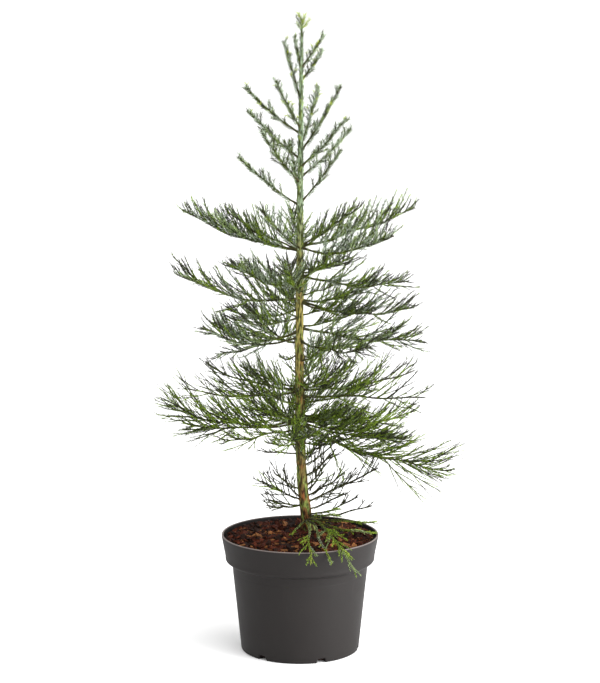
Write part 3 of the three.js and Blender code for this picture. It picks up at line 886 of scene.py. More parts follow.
def rounded(corners, steps=5):
    """A section line through (radius, height, rounding): each corner gives way to a quadratic curve that
    starts and ends its rounding away from it."""
    corners = np.asarray(corners, float)
    points, roundings = corners[:, :2], corners[1:, 2]
    share = np.linspace(0, 1, steps)
    line = [points[:1]]
    for before, corner, after, rounding in zip(points, points[1:], points[2:], roundings):
        back = min(rounding, MOST_ROUNDING * np.linalg.norm(before - corner))
        ahead = min(rounding, MOST_ROUNDING * np.linalg.norm(after - corner))
        start = corner + unit(before - corner) * back
        stop = corner + unit(after - corner) * ahead
        line.append(bezier(np.array([start, corner, stop]), share))
    line.append(points[-1:])
    return np.concatenate(line)


def drain_turns(pot):
    """Angles of the drain notches round the pot."""
    return np.radians(DRAIN_TURN + 360 / pot.drain_holes * np.arange(pot.drain_holes))


def pot_angles(pot):
    """Angles round the pot, set close together at the drain notches and evenly elsewhere."""
    even = np.linspace(-np.pi, np.pi, POT_SEGMENTS, endpoint=False)
    near = np.linspace(-DRAIN_MARGIN, DRAIN_MARGIN, DRAIN_SEGMENTS)
    near = near * DRAIN_HALF_WIDTH / (pot.base_radius * MM)
    extra = (drain_turns(pot)[:, None] + near).ravel()
    extra = (extra + np.pi) % FULL_TURN - np.pi
    angles = np.unique(np.round(np.concatenate([even, extra]), ANGLE_DIGITS))
    return angles[np.concatenate([[True], np.diff(angles) > LEAST_ANGLE])]


def pot_surface(pot):
    """Section (radius, height) turned through a full circle. Near a drain notch the section's outer foot is
    lifted by the notch's height, so the corner of wall and floor is cut away there."""
    rim, top, base = pot.rim_radius * MM, pot.height * MM, pot.base_radius * MM
    neck, collar, wall = pot.wall_top_radius * MM, pot.collar_radius * MM, pot.wall * MM
    neck_z, collar_z = pot.wall_top * MM, pot.collar_foot * MM
    slope = (neck - base) / neck_z
    line = base + slope * MOULD_LINE
    inner = base - DRAIN_DEPTH
    # Two points a hair apart keep the inner edge of the notches sharp.
    shell = rounded(
        [
            (0, 0, 0),
            (inner - 0.05, 0, 0.01),
            (inner, 0.02, 0.01),
            (base, 0, 1.6),
            *((base + slope * level, level, 0.3) for level in WALL_RINGS),
            (line, MOULD_LINE - MOULD_HALF_WIDTH, 0.4),
            (line - MOULD_STEP, MOULD_LINE, 0.3),
            (line + slope * MOULD_HALF_WIDTH, MOULD_LINE + MOULD_HALF_WIDTH, 0.4),
            (neck, neck_z, 2.5),
            (collar, neck_z + COLLAR_RISE, 4.0),
            (collar, collar_z, 3.0),
            (rim, top - LIP_ROLL, 1.0),
            (rim + 0.01, top, 0.9),
            (rim - wall, top, 0.9),
            (rim - wall, top - LIP_DEPTH, 0),
        ]
    )
    lining = rounded(
        [
            (rim - wall, top - LIP_DEPTH, 0),
            (collar - wall, collar_z, 3.0),
            (neck - wall, neck_z, 3.0),
            (base - wall, POT_FLOOR + 1, 1.0),
            (0, POT_FLOOR, 0),
        ]
    )
    section = np.concatenate([shell, lining[1:]])
    angles = pot_angles(pot)
    away = np.abs((angles[:, None] - drain_turns(pot) + np.pi) % FULL_TURN - np.pi).min(1) * base
    lift = DRAIN_HEIGHT * np.sqrt(np.clip(1 - (away / DRAIN_HALF_WIDTH) ** 4, 0, 1))
    radius, height = section[1:-1, 0], section[1:-1, 1]
    outside = np.arange(len(radius)) < len(shell) // 2
    low = outside & (radius > inner - 0.03) & (height < DRAIN_HEIGHT)
    height = np.where(low[:, None], np.maximum(height[:, None], lift), height[:, None])
    ring = polar(radius[:, None], angles, height)
    points = np.concatenate([ring.reshape(-1, 3), [(0, 0, 0), (0, 0, POT_FLOOR)]])
    return points, tube_faces(*ring.shape[:2])


def pot_lining(pot, height):
    """Radius of the pot's inner wall at a height."""
    levels = np.array([POT_FLOOR / MM, pot.wall_top, pot.collar_foot, pot.height]) * MM
    radii = np.array([pot.base_radius, pot.wall_top_radius, pot.collar_radius, pot.rim_radius]) * MM
    return np.interp(height, levels, radii) - pot.wall * MM


def compost_height(compost, pot, radius):
    """Height of the compost: level round the trunk, then falling evenly to the wall."""
    share = np.clip((radius - LEVEL_RADIUS) / (pot.rim_radius * MM - LEVEL_RADIUS - LEVEL_EDGE), 0, 1)
    return compost.top * MM + (compost.edge - compost.top) * MM * share


def compost_bed(compost, pot):
    """Rings of growing radius whose height is the compost's level plus a crumbly sum of waves, with a skirt
    that runs down inside the wall and a flat bottom."""
    edge = compost.edge * MM
    reach = float(pot_lining(pot, edge)) - COMPOST_GAP
    angle = np.linspace(0, FULL_TURN, BED_SIDES, endpoint=False)
    turn, out = np.meshgrid(angle, reach * np.linspace(0, 1, BED_RINGS)[1:])
    fade = np.clip((reach - out) / CRUMB_FADE, 0, 1)
    rough = CRUMB_HEIGHT * wave_sum(waves(*CRUMB_WAVES), turn, out) * fade
    top = polar(out, turn, compost_height(compost, pot, out) - COMPOST_SUNK + rough)
    levels = np.array([edge - SKIRT_DROP, pot.collar_foot * MM, pot.wall_top * MM, SKIRT_LOW, COMPOST_FOOT])
    turn, wall = np.meshgrid(angle, pot_lining(pot, levels) - COMPOST_GAP)
    rings = np.concatenate([top, polar(wall, turn, levels[:, None])])
    centres = [(0, 0, compost.top * MM - COMPOST_SUNK), (0, 0, COMPOST_FOOT)]
    points = np.concatenate([rings.reshape(-1, 3), centres])
    return points, [part[:, ::-1] for part in tube_faces(*rings.shape[:2])]


def bark_chips(compost, pot):
    """Boxes of chance length, width and thickness whose corners are pulled about, tilted, turned and laid
    on the compost clear of the trunk. Gives their corners and their tones."""
    rng = np.random.default_rng(CHIP_SEED)
    count = compost.chips
    length = CHIP_LEAST + CHIP_SPREAD * rng.random(count) ** CHIP_SKEW
    width = length * rng.uniform(*CHIP_WIDTH, count)
    thick = width * rng.uniform(*CHIP_THICKNESS, count)
    size = np.stack([length, width, thick], -1) / 2
    corners = BOX_CORNERS * size[:, None] * rng.uniform(*CHIP_WARP, (count, *BOX_CORNERS.shape))
    turn = rng.uniform(0, FULL_TURN, count)
    tilt = rng.normal(0, CHIP_TILT, count)
    roll = rng.normal(0, CHIP_TILT, count)
    for (first, second), angle in (((1, 2), roll), ((0, 2), tilt), ((0, 1), turn)):
        ahead, beside = corners[..., first].copy(), corners[..., second].copy()
        corners[..., first] = ahead * np.cos(angle)[:, None] - beside * np.sin(angle)[:, None]
        corners[..., second] = ahead * np.sin(angle)[:, None] + beside * np.cos(angle)[:, None]
    around = rng.uniform(0, FULL_TURN, count)
    reach = float(pot_lining(pot, compost.edge * MM)) - np.hypot(length, width) / 2 - CHIP_WALL_GAP
    radius = np.sqrt(rng.random(count)) * reach
    level = compost_height(compost, pot, radius) - CHIP_SUNK + thick * CHIP_LAY
    spot = polar(radius, around, level + rng.uniform(*CHIP_HEAP, count))
    tone = rng.choice(len(CHIP_SHARES), count, p=CHIP_SHARES)
    clear = np.linalg.norm((spot - trunk_point(TRUNK_FOOT))[:, :2], axis=1) > length / 2 + CHIP_TRUNK_GAP
    return (corners + spot[:, None])[clear], tone[clear]


def trunk_samples(count=120):
    """Centripetal spline through the trunk's points: a cubic between neighbours whose end slopes come from
    the points on either side, spaced by the square root of their distances."""
    points = np.vstack([2 * TRUNK_PATH[0] - TRUNK_PATH[1], TRUNK_PATH, 2 * TRUNK_PATH[-1] - TRUNK_PATH[-2]])
    share = np.linspace(0, 1, count, endpoint=False)[:, None]
    spans = []
    for a, b, c, d in zip(points, points[1:], points[2:], points[3:]):
        ab, bc, cd = (np.sqrt(np.linalg.norm(q - p)) for p, q in ((a, b), (b, c), (c, d)))
        leave = ((b - a) / ab - (c - a) / (ab + bc) + (c - b) / bc) * bc
        reach = ((c - b) / bc - (d - b) / (bc + cd) + (d - c) / cd) * bc
        cubic = 2 * b - 2 * c + leave + reach
        square = -3 * b + 3 * c - 2 * leave - reach
        spans.append(b + leave * share + square * share**2 + cubic * share**3)
    return np.vstack([*spans, TRUNK_PATH[-1]])


TRUNK_LINE = trunk_samples()


def trunk_point(height):
    """Points on the trunk's axis at given heights."""
    return np.stack([np.interp(height, TRUNK_LINE[:, 2], TRUNK_LINE[:, axis]) for axis in range(3)], -1)


def trunk_radius(height, lobe=1 + FLARE_LOBE_DEPTH):
    """Radius falling almost evenly from foot to tip, plus a root flare that fades within a few
    centimetres."""
    taper = np.clip(1 - (height - TRUNK_FOOT) / (TRUNK_TIP - TRUNK_FOOT), 0, 1) ** TRUNK_TAPER
    flare = FLARE * lobe * np.exp((TRUNK_FOOT - height) / FLARE_HEIGHT)
    return TRUNK_TIP_RADIUS + (TRUNK_FOOT_RADIUS - TRUNK_TIP_RADIUS) * taper + flare


def trunk_surface(bark, sides=56, rings=480):
    """Radius at (angle, height) = taper and flare, with soft root lobes, plus bark ridges: a sum of waves
    round the stem that drift with height, strongest at the foot."""
    rise = TRUNK_TIP - TRUNK_FOOT + TRUNK_STUB
    height = TRUNK_FOOT - TRUNK_STUB + rise * np.linspace(0, 1, rings) ** RING_CROWDING
    turn, level = np.meshgrid(np.linspace(0, FULL_TURN, sides, endpoint=False), height)
    radius = trunk_radius(level, 1 + FLARE_LOBE_DEPTH * np.cos(FLARE_LOBES * turn))
    ridges = np.abs(wave_sum(waves(*RIDGE_WAVES), turn, level))
    scars = wave_sum(waves(*SCAR_WAVES), turn, level)
    strength = np.clip(radius / TRUNK_FOOT_RADIUS, *RELIEF_RANGE) * bark.ridge * MM
    radius = radius + strength * (RIDGE_RISE * ridges - RIDGE_SUNK + SCAR_RISE * scars)
    axis = trunk_point(height)
    body = axis[:, None] + polar(radius, turn, 0.0)
    points = np.concatenate([body.reshape(-1, 3), axis[:1], axis[-1:] + TRUNK_POINT * UP])
    return points, tube_faces(rings, sides)


def bough_radius(bough, share):
    """Radius at a share of a bough's length: thicker on a longer bough, falling to the tip."""
    root = BOUGH_RADIUS + BOUGH_RADIUS_RATE * np.hypot(bough.reach, bough.rise)
    return root + (BOUGH_TIP_RADIUS - root) * np.asarray(share) ** BOUGH_TAPER


def bough_ends(bough):
    """Root, crest and tip of a bough's quadratic curve. The root clears the trunk's bark, and the crest
    lies twice the sag below the straight line. A trailing arm's crest also swings to the front."""
    azimuth = np.radians(bough.azimuth)
    heading = np.array([np.cos(azimuth), np.sin(azimuth), 0.0])
    axis = trunk_point(bough.height)
    tip = axis + heading * bough.reach + UP * bough.rise
    trailing = bough.tier == "trail"
    crook = FLAT_CROOK if trailing else BOUGH_CROOK
    crest = axis + (tip - axis) * crook - UP * 2 * bough.sag
    if trailing:
        crest += TRAIL_BOW * bough.reach * heading[0] * np.array([heading[1], -heading[0], 0.0])
    steep = abs(unit(crest - axis)[2])
    root = axis + heading * (trunk_radius(bough.height) + GAP + steep * bough_radius(bough, 0))
    if bough.height >= TRUNK_TIP:
        root = axis + UP * GAP
    return np.array([root, crest, tip])


def bough_line(index, ends, share):
    """Points of a bough: its quadratic curve plus gentle bends, a sine wave of chance phase on each axis
    that fades at both ends and grows with the bough's length."""
    share = np.asarray(share)
    reach = BOUGH_WANDER * HABITS[BOUGHS[index].tier].wander * np.linalg.norm(ends[2] - ends[0])
    axis = np.arange(3)
    bends = BOUGH_BENDS + chance(index, Draw.BENDS + axis)
    phase = FULL_TURN * (bends * share[..., None] + chance(index, Draw.BEND_PHASE + axis))
    fade = 4 * share * (1 - share) * reach
    return bezier(ends, share) + fade[..., None] * np.sin(phase)


def bough_surfaces(sides=7, rings=32):
    """Each bough is its line, started inside the trunk, with radius = its taper, a collar where it leaves
    the trunk, and knots: a sum of waves along and round it."""
    share = np.linspace(0, 1, rings)
    turn, spot = np.meshgrid(np.arange(sides) * FULL_TURN / sides, share)
    points = []
    for index, bough in enumerate(BOUGHS):
        ends = bough_ends(bough)
        if bough.height < TRUNK_TIP:
            ends[0] += (trunk_point(bough.height) - ends[0]) * BOUGH_INTO_TRUNK
        length = even_shares(ends, 0.0)[1]
        across, over = frames_along(ends, share)[1:]
        knots = KNOT_RELIEF * wave_sum(waves(KNOT_SEED + index, *KNOT_WAVES), turn, spot)
        collar = BOUGH_COLLAR * np.exp(-spot * length / BOUGH_COLLAR_LENGTH)
        end = np.where(spot > BOUGH_END_FROM, BOUGH_END, 1)
        radius = bough_radius(bough, spot) * (1 + knots + collar) * end
        ring = turned(across[:, None], over[:, None], turn)
        body = bough_line(index, ends, share)[:, None] + radius[..., None] * ring
        points.append(np.concatenate([body.reshape(-1, 3), ends[::2]]))
    faces = [repeated(part, len(BOUGHS), rings * sides + 2) for part in tube_faces(rings, sides)]
    return np.concatenate(points), faces


class Shoots(NamedTuple):
    """Shoots as arrays: the ends of their curves, lengths, tiers, keys for chance, stem radii, leaf spacing
    factors and places along their boughs."""

    ends: np.ndarray
    size: np.ndarray
    tier: np.ndarray
    key: np.ndarray
    radius: np.ndarray
    crowd: np.ndarray
    place: np.ndarray


def gather(parts):
    """Joins several sets of shoots into one."""
    ends = np.concatenate([part.ends for part in parts], axis=1)
    return Shoots(ends, *(np.concatenate(values) for values in zip(*(part[1:] for part in parts))))


def pick(shoots, chosen):
    """The chosen shoots of a set."""
    return Shoots(shoots.ends[:, chosen], *(values[chosen] for values in shoots[1:]))


def habit(shoots, name):
    """One value of the habit of each shoot's tier."""
    return np.array([getattr(HABITS[tier], name) for tier in TIERS])[shoots.tier]


def rolled(along, roll):
    """Directions across a shoot, turned by a roll from upright towards its side."""
    up = unit(UP - along * along[:, 2:])
    return turned(up, np.cross(along, up), roll)


def rows_of(shoots, count):
    """For so many things on each shoot: each thing's shoot, its number there and that shoot's values."""
    parent = np.repeat(np.arange(len(count)), count)
    number = np.arange(len(parent)) - np.repeat(np.cumsum(count) - count, count)
    return parent, number, pick(shoots, parent)


def bent(base, start, finish, size):
    """Ends of curves that leave a base in one direction and reach their tips in another."""
    middle = base + start * size[:, None] / 2
    return np.stack([base, middle, middle + finish * size[:, None] / 2])


def grow_twigs(index, bough, finer):
    """Twigs of one bough: each leaves at an even share of the leafy length, on alternate sides, rolled from
    upright by chance, leaning less towards the tip, and bends up. Every third one is a main twig. Finer
    twigs stand between them."""
    ways = HABITS[bough.tier]
    ends = bough_ends(bough)
    length = even_shares(ends, 0.0)[1]
    count = int(np.floor((length - bough.bare) / (TWIG_PITCH + TWIG_PITCH_RATE * bough.twig) + 0.5))
    order = np.arange(count)
    share = (order + (FINER_PLACE if finer else TWIG_PLACE)) / count
    number = order + (FINER_KEY if finer else 0)
    leafy = bough.bare / length
    place = leafy + (LAST_TWIG - leafy) * share
    t = even_shares(ends, place)[0]
    along = bezier_slope(ends, t)
    draw = chance(index, number, Draw.ROLL)
    hanging = chance(index, number, Draw.HANGING) < ways.hanging * (HANGING_AT_ROOT + HANGING_RISE * share)
    roll = np.where(hanging, HANGING_ROLL + LOW_ROLL_SPREAD * draw, TWIG_ROLL_LEAST + ways.spread * draw)
    if bough.tier == "trail":
        roll = FLAT_ROLL + LOW_ROLL_SPREAD * draw
    roll = roll * np.where(order % 2, 1, -1)
    lean = ways.lean + (ways.tip_lean - ways.lean) * share
    lean = np.radians(lean + TWIG_LEAN_SPREAD * (chance(index, number, Draw.LEAN) - 0.5))
    start = turned(along, rolled(along, np.radians(roll)), lean)
    lift = np.where(hanging, HANGING_LIFT, ways.lift)
    fullness = np.minimum(1, TWIG_FULLNESS_AT_ROOT + TWIG_FULLNESS_RISE * share)
    fullness = fullness * (1 - ways.shortening * share)
    vigour = TWIG_LENGTH_LEAST + TWIG_LENGTH_SPREAD * chance(index, number, Draw.LENGTH)
    wanted = bough.twig * fullness * vigour
    size = np.minimum(wanted, TWIG_PAST_TIP + TWIG_TO_TIP * (1 - place) * length)
    size = size * np.where(order % TWIG_STEP == 1, 1.0, MINOR_TWIG) * (FINER_TWIG if finer else 1.0)
    curves = bent(bough_line(index, ends, t), start, unit(start + UP * lift[:, None]), size)
    kind = np.full(count, TIERS.index(bough.tier))
    radius = TWIG_RADIUS + TWIG_RADIUS_RATE * size
    return Shoots(curves, size, kind, index * BOUGH_KEY + number, radius, np.ones(count), place)


def twigs_grown(twigs):
    """Which twigs grow: every main one, and a share of the minor and finer ones, drawn by chance, that
    falls along the bough."""
    number = twigs.key % BOUGH_KEY
    share = np.where(number >= FINER_KEY, habit(twigs, "finer"), habit(twigs, "minor"))
    share = share * (1 - habit(twigs, "thinning") * twigs.place)
    return (chance(twigs.key, Draw.GROWN) < share) | ((number < FINER_KEY) & (number % TWIG_STEP == 1))


def grow_side_shoots(shoots):
    """Side shoots of a set: each leaves its shoot at an even pitch, turned by the golden angle from the
    last, and is shorter the nearer it stands to the tip."""
    count = np.maximum((shoots.size / habit(shoots, "side_pitch")).astype(int), 1)
    parent, number, stems = rows_of(shoots, count)
    step = number + SIDE_PLACE + SIDE_PLACE_SPREAD * chance(stems.key, number, Draw.SIDE_PLACE)
    share = SIDE_FROM + SIDE_SPAN * step / count[parent]
    along = bezier_slope(stems.ends, share)
    roll = number * GOLDEN_TURN + FULL_TURN * chance(stems.key, Draw.SIDE_ROLL)
    swing = SIDE_LEAN_SPREAD * (chance(stems.key, number, Draw.SIDE_LEAN) - 0.5)
    start = turned(along, rolled(along, roll), np.radians(habit(stems, "side_lean") + swing))
    finish = unit(start + habit(stems, "side_lift")[:, None] * UP + SIDE_ALONG * along)
    vigour = SIDE_LENGTH_LEAST + SIDE_LENGTH_SPREAD * chance(stems.key, number, Draw.SIDE_LENGTH)
    wanted = stems.size * habit(stems, "side_share") * (1 - SIDE_SHORTENING * share) * vigour
    size = np.minimum(wanted, SIDE_PAST_TIP + SIDE_TO_TIP * (1 - share) * stems.size)
    curves = bent(bezier(stems.ends, share), start, finish, size)
    radius = SIDE_RADIUS + SIDE_RADIUS_RATE * size
    sides = Shoots(curves, size, stems.tier, stems.key, radius, stems.crowd, stems.place)
    return pick(sides, size > SIDE_SHORTEST)


def shoots_clear(shoots, scene):
    """Which shoots stay above the compost inside the rim, and above the rim or outside it elsewhere."""
    compost, pot = scene.sequoia_compost, scene.sequoia_pot
    share = CLEAR_SHARES[:, None] * np.ones(len(shoots.size))
    points = bezier(shoots.ends[:, None], share)
    radius, height = np.hypot(points[..., 0], points[..., 1]), points[..., 2]
    rim = pot.rim_radius * MM
    inside = radius < rim - pot.wall * MM - RIM_CLEARANCE
    over_compost = height > compost.top * MM + POT_CLEARANCE
    past_rim = (height > pot.height * MM + POT_CLEARANCE) | (radius > rim + POT_CLEARANCE)
    return np.where(inside, over_compost, past_rim).all(0)


def grow_crown(scene):
    """All twigs and side shoots that grow and stay clear of the pot."""
    rows = list(enumerate(BOUGHS))
    twigs = gather([grow_twigs(index, bough, finer) for finer in (False, True) for index, bough in rows])
    twigs = pick(twigs, twigs_grown(twigs) & shoots_clear(twigs, scene))
    sides = grow_side_shoots(twigs)
    return twigs, pick(sides, shoots_clear(sides, scene))


def leafy_stems():
    """The leafy part of each bough and of the upper trunk as shoots, so that leaves clothe them too: a
    bough in spans that follow its bends, and the trunk in spans of several leaf spirals with colours of
    their own."""
    rows = []
    for index, bough in enumerate(BOUGHS):
        curve = bough_ends(bough)
        length = even_shares(curve, 0.0)[1]
        bare = 0.0 if bough.tier == "trail" else LEAFLESS * bough.bare / length
        shares = np.linspace(bare, LEAVES_TO, 2 * BOUGH_SPANS + 1)
        line = bough_line(index, curve, shares)
        for span in range(0, 2 * BOUGH_SPANS, 2):
            start, middle, stop = line[span : span + 3]
            ends = (start, 2 * middle - (start + stop) / 2, stop)
            radius = STEM_COAT * float(bough_radius(bough, shares[span]))
            rows.append((*ends, bough.tier, radius, BOUGH_CROWD, shares[span]))
    levels = np.linspace(STEM_LEAVES_FROM, TRUNK_TIP, STEM_LEAF_SPANS)
    for low, high in zip(levels, levels[1:]):
        ends = [trunk_point(level) for level in (low, (low + high) / 2, high)]
        row = (*ends, "stem", STEM_COAT * float(trunk_radius(low)), STEM_CROWD, STEM_PLACE)
        rows.extend([row] * STEM_LEAF_SETS)
    starts, middles, stops, tiers, radii, crowds, places = zip(*rows)
    ends = np.array([starts, middles, stops])
    return Shoots(
        ends,
        np.linalg.norm(ends[2] - ends[0], axis=1),
        np.array([TIERS.index(tier) for tier in tiers]),
        STEM_KEY + np.arange(len(rows)),
        np.array(radii),
        np.array(crowds),
        np.array(places),
    )


def twig_tubes(shoots, rings, sides):
    """Tapering tubes: ring i lies at share i / rings of the curve, its corners at the tapered radius round
    it, closed by one point at the root and one at the tip."""
    count = len(shoots.size)
    share = np.broadcast_to(np.linspace(0, 1, rings + 1)[:-1], (count, rings))
    curve = shoots.ends[:, :, None]
    across, over = frames_along(curve, share)[1:]
    width = shoots.radius[:, None] * (1 - TWIG_TAPER * share)
    ring = turned(across[:, :, None], over[:, :, None], np.arange(sides) * FULL_TURN / sides)
    body = bezier(curve, share)[:, :, None] + width[..., None, None] * ring
    ends = shoots.ends[::2].swapaxes(0, 1)
    points = np.concatenate([body.reshape(count, -1, 3), ends], axis=1)
    faces = [repeated(part, count, rings * sides + 2) for part in tube_faces(rings, sides)]
    return points.reshape(-1, 3), faces


def scale_leaves(shoots, length, pitch):
    """Scale leaves in a golden spiral on each shoot: a slim four-sided awl with two corners and a keel at
    its root and one point at its tip, laid forward along the shoot. Gives each leaf's corners, shoot and
    share."""
    spacing = pitch * habit(shoots, "leaf_pitch") * shoots.crowd
    count = np.maximum((shoots.size / spacing).astype(int), LEAST_LEAVES)
    parent, number, stems = rows_of(shoots, count)
    share = (number + 0.5) / count[parent]
    along, across, over = frames_along(stems.ends, share)
    out = turned(across, over, number * GOLDEN_TURN + FULL_TURN * chance(stems.key, Draw.LEAF_TURN))
    swing = LEAF_ANGLE_SPREAD * (chance(stems.key, number, Draw.LEAF_ANGLE) - 0.5)
    point = turned(along, out, np.radians(habit(stems, "leaf_angle") + swing))
    size = length * habit(stems, "leaf_size") * (1 + habit(stems, "swell") * share)
    vigour = LEAF_SIZE_LEAST + LEAF_SIZE_SPREAD * chance(stems.key, number, Draw.LEAF_SIZE)
    size = (size * vigour)[:, None]
    stem = (stems.radius * (1 - np.where(stems.key < STEM_KEY, TWIG_TAPER, 0) * share))[:, None]
    root = bezier(stems.ends, share) + out * stem * LEAF_SUNK
    wide = np.cross(along, out) * LEAF_HALF_WIDTH * size
    keel = root + out * LEAF_KEEL * size + point * LEAF_KEEL_AHEAD * size
    return np.stack([root + wide, root - wide, keel, root + point * size], 1), parent, share


def leaf_colours(shoots, parent, share):
    """Number of each leaf's colour: one draw for each spray against its tier's shares, which shift from the
    trunk to the tips. Some leaves are shaded, shoot tips darken, and those near the top turn fresh, by
    chance."""
    inner, outer = habit(shoots, "inner"), habit(shoots, "outer")
    limits = np.cumsum(inner + (outer - inner) * shoots.place[:, None], axis=1)
    spray = (chance(shoots.key, Draw.SPRAY)[:, None] > limits).sum(1).clip(0, len(SPRAYS) - 1)
    draw = chance(np.arange(len(shoots.key)), Draw.TIP)
    young = (shoots.ends[2, :, 2] > FRESH_HEIGHT) & (shoots.key < STEM_KEY)
    fresh = (young & (draw < FRESH_CHANCE))[parent] & (share > FRESH_FROM)
    dusk = (draw < habit(shoots, "dusk") * DUSK_RATE * shoots.place)[parent] & (share > DUSK_FROM)
    shaded = chance(np.arange(len(parent)), Draw.SHADED) < habit(shoots, "dapple")[parent]
    colour = np.where(shaded, SPRAYS.index("deep"), spray[parent])
    colour = np.where(dusk, SPRAYS.index("dusk"), colour)
    return np.where(fresh, SPRAYS.index("fresh"), colour)


class SEQUOIA_OT_pot(Operator):
    """Build the moulded nursery pot with its collar, rounded lip and drain notches"""

    bl_idname = "sequoia.pot"
    bl_label = "Nursery Pot"

    def execute(self, context):
        """Turns the pot's section round its axis."""
        pot = context.scene.sequoia_pot
        plant_piece("pot_moulding", pot_surface(pot), moulded_polypropylene(pot), ["pot"])
        return {"FINISHED"}


class SEQUOIA_OT_compost(Operator):
    """Fill the pot with fine bark compost"""

    bl_idname = "sequoia.compost"
    bl_label = "Compost Bed"

    def execute(self, context):
        """Makes the bed as a turned, crumbly surface."""
        compost = context.scene.sequoia_compost
        bed = compost_bed(compost, context.scene.sequoia_pot)
        material = composted_bark("composted_bark_fines", compost.fines)
        plant_piece("compost_bed", bed, material, ["compost"])
        return {"FINISHED"}


class SEQUOIA_OT_chips(Operator):
    """Scatter loose bark chips over the compost in three tones"""

    bl_idname = "sequoia.chips"
    bl_label = "Bark Chips"

    def execute(self, context):
        """Makes the chips as warped boxes, joined by tone."""
        compost = context.scene.sequoia_compost
        corners, tone = bark_chips(compost, context.scene.sequoia_pot)
        tones = {"dark": compost.dark_chip, "red": compost.red_chip, "pale": compost.pale_chip}
        for order, (name, colour) in enumerate(tones.items()):
            chosen = corners[tone == order]
            chips = chosen.reshape(-1, 3), [repeated(BOX_FACES, len(chosen), len(BOX_CORNERS))]
            material = composted_bark(f"composted_bark_chips_{name}", colour)
            plant_piece(f"chips_{name}", chips, material, ["compost"], smooth=False)
        return {"FINISHED"}


class SEQUOIA_OT_trunk(Operator):
    """Build the trunk with the relief of its bark"""

    bl_idname = "sequoia.trunk"
    bl_label = "Trunk"

    def execute(self, context):
        """Carries a ridged section up the trunk."""
        bark = context.scene.sequoia_bark
        plant_piece("trunk_bark", trunk_surface(bark), young_sequoia_bark(bark), ["trunk"])
        return {"FINISHED"}


class SEQUOIA_OT_boughs(Operator):
    """Build the boughs with their collars and knots"""

    bl_idname = "sequoia.boughs"
    bl_label = "Boughs"

    def execute(self, context):
        """Carries a knotted section along each bough."""
        material = shoot_bark("olive_bough_bark", context.scene.sequoia_bark.bough_colour)
        plant_piece("bough_bark", bough_surfaces(), material, LIMB_NODES)
        return {"FINISHED"}


class SEQUOIA_OT_twigs(Operator):
    """Grow the twigs and side shoots of every bough"""

    bl_idname = "sequoia.twigs"
    bl_label = "Twigs"

    def execute(self, context):
        """Carries a small section along each twig and side shoot."""
        material = shoot_bark("green_twig_bark", context.scene.sequoia_bark.twig_colour)
        twigs, sides = grow_crown(context.scene)
        for name, shoots, rings in (("main_twigs", twigs, TWIG_RINGS), ("side_shoots", sides, SIDE_RINGS)):
            tubes = twig_tubes(shoots, rings, TWIG_SIDES)
            plant_piece(name, tubes, material, FOLIAGE_NODES)
        return {"FINISHED"}


class SEQUOIA_OT_leaves(Operator):
    """Clothe every twig, side shoot and young stem in scale leaves"""

    bl_idname = "sequoia.leaves"
    bl_label = "Scale Leaves"

    def execute(self, context):
        """Lays the leaves and joins them by colour, in pieces of limited size."""
        leaf = context.scene.sequoia_leaf
        shoots = gather([*grow_crown(context.scene), leafy_stems()])
        corners, parent, share = scale_leaves(shoots, leaf.leaf_length * MM, leaf.leaf_pitch * MM)
        colour = leaf_colours(shoots, parent, share)
        for order, name in enumerate(SPRAYS):
            material = waxy_leaf_skin(f"waxy_leaf_{name}", getattr(leaf, name), WAX_SHEEN.get(name, 0.0))
            chosen = corners[colour == order]
            for first in range(0, len(chosen), MOST_LEAVES):
                lot = chosen[first : first + MOST_LEAVES]
                awls = lot.reshape(-1, 3), [repeated(AWL_FACES, *lot.shape[:2])]
                label = f"leaves_{name}_{first // MOST_LEAVES + 1}"
                plant_piece(label, awls, material, FOLIAGE_NODES, smooth=False)
        return {"FINISHED"}


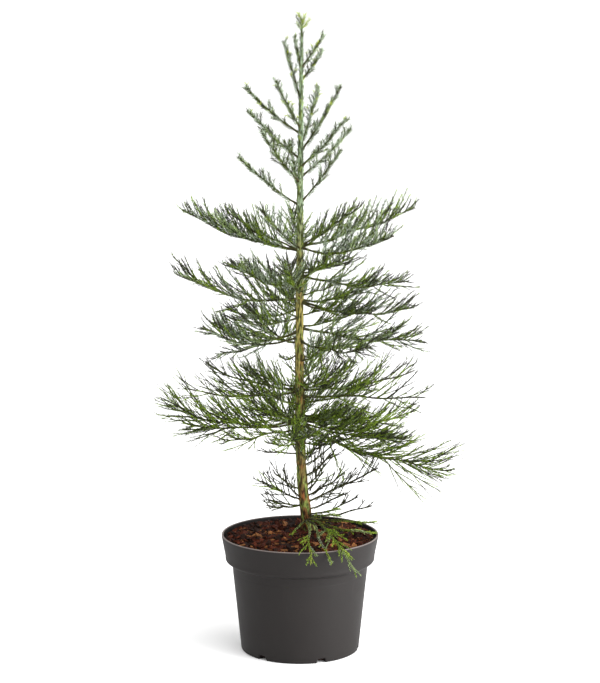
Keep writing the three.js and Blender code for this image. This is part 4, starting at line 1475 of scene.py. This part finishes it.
class SEQUOIA_OT_stage(Operator):
    """Set the plain floor, the soft studio light and the camera"""

    bl_idname = "sequoia.stage"
    bl_label = "Floor, Light and Camera"

    def execute(self, context):
        """Lays a wide floor, lights it all round with a soft key and a low side light, and aims the
        camera."""
        scene, stage = context.scene, context.scene.sequoia_stage
        corners = FLOOR_REACH * np.array([(-1, -1, 0), (1, -1, 0), (1, 1, 0), (-1, 1, 0)])
        material = painted_board(stage.floor_colour)
        mesh_object("floor", corners, [np.array([(0, 1, 2, 3)])], material, False)
        world = bpy.data.worlds.new("white_surround")
        world.use_nodes = True
        background = world.node_tree.nodes["Background"]
        background.inputs["Color"].default_value = (1, 1, 1, 1)
        background.inputs["Strength"].default_value = stage.sky_strength
        scene.world = world
        key = bpy.data.lights.new("key_light", "SUN")
        key.energy = stage.key_strength
        key.angle = np.radians(KEY_SOFTNESS)
        side = bpy.data.lights.new("side_light", "AREA")
        side.energy = stage.side_strength
        side.size = SIDE_LIGHT_SIZE / MM
        lens = bpy.data.cameras.new("studio_camera")
        lens.lens = stage.focal_length
        lens.sensor_width = SENSOR_WIDTH
        eye = (0, -stage.camera_distance, stage.camera_height)
        tools = [
            (key, (0, 0, 0), KEY_TURN),
            (side, SIDE_LIGHT_PLACE / MM, SIDE_LIGHT_TURN),
            (lens, eye, (90 - CAMERA_PITCH, 0, 0)),
        ]
        for data, location, turn in tools:
            tool = bpy.data.objects.new(data.name, data)
            tool.location = location
            tool.rotation_euler = np.radians(turn)
            tool.visible_camera = False
            scene.collection.objects.link(tool)
        scene.camera = tool
        scene.view_settings.view_transform = "Standard"
        return {"FINISHED"}


class SEQUOIA_PT_panel(Panel):
    """Lists the pieces of the plant with their sizes and colours"""

    bl_label = "Potted Sequoia"
    bl_idname = "SEQUOIA_PT_panel"
    bl_space_type = "VIEW_3D"
    bl_region_type = "UI"
    bl_category = "Sequoia"

    def draw(self, context):
        """Draws the settings and the buttons for each group of pieces."""
        for group, members in GROUPS.items():
            box = self.layout.box()
            for operator in members[1:]:
                box.operator(operator.bl_idname)
            settings = getattr(context.scene, group)
            for name in settings.__annotations__:
                box.prop(settings, name)


# Settings and operators of each group of pieces, in the order in which they are built.
GROUPS = {
    "sequoia_pot": [SequoiaPotSettings, SEQUOIA_OT_pot],
    "sequoia_compost": [SequoiaCompostSettings, SEQUOIA_OT_compost, SEQUOIA_OT_chips],
    "sequoia_bark": [SequoiaBarkSettings, SEQUOIA_OT_trunk, SEQUOIA_OT_boughs, SEQUOIA_OT_twigs],
    "sequoia_leaf": [SequoiaLeafSettings, SEQUOIA_OT_leaves],
    "sequoia_stage": [SequoiaStageSettings, SEQUOIA_OT_stage],
}
OPERATORS = [operator for members in GROUPS.values() for operator in members[1:]]
CLASSES = [*(members[0] for members in GROUPS.values()), *OPERATORS, SEQUOIA_PT_panel]


def register():
    """Registers the settings, operators and panel."""
    for cls in CLASSES:
        bpy.utils.register_class(cls)
    for name, members in GROUPS.items():
        setattr(Scene, name, PointerProperty(type=members[0]))


def unregister():
    """Removes the settings, operators and panel."""
    for name in GROUPS:
        delattr(Scene, name)
    for cls in reversed(CLASSES):
        bpy.utils.unregister_class(cls)


def main():
    """Builds every piece in order."""
    register()
    for operator in OPERATORS:
        group, name = operator.bl_idname.split(".")
        getattr(getattr(bpy.ops, group), name)()


if __name__ == "__main__":
    main()
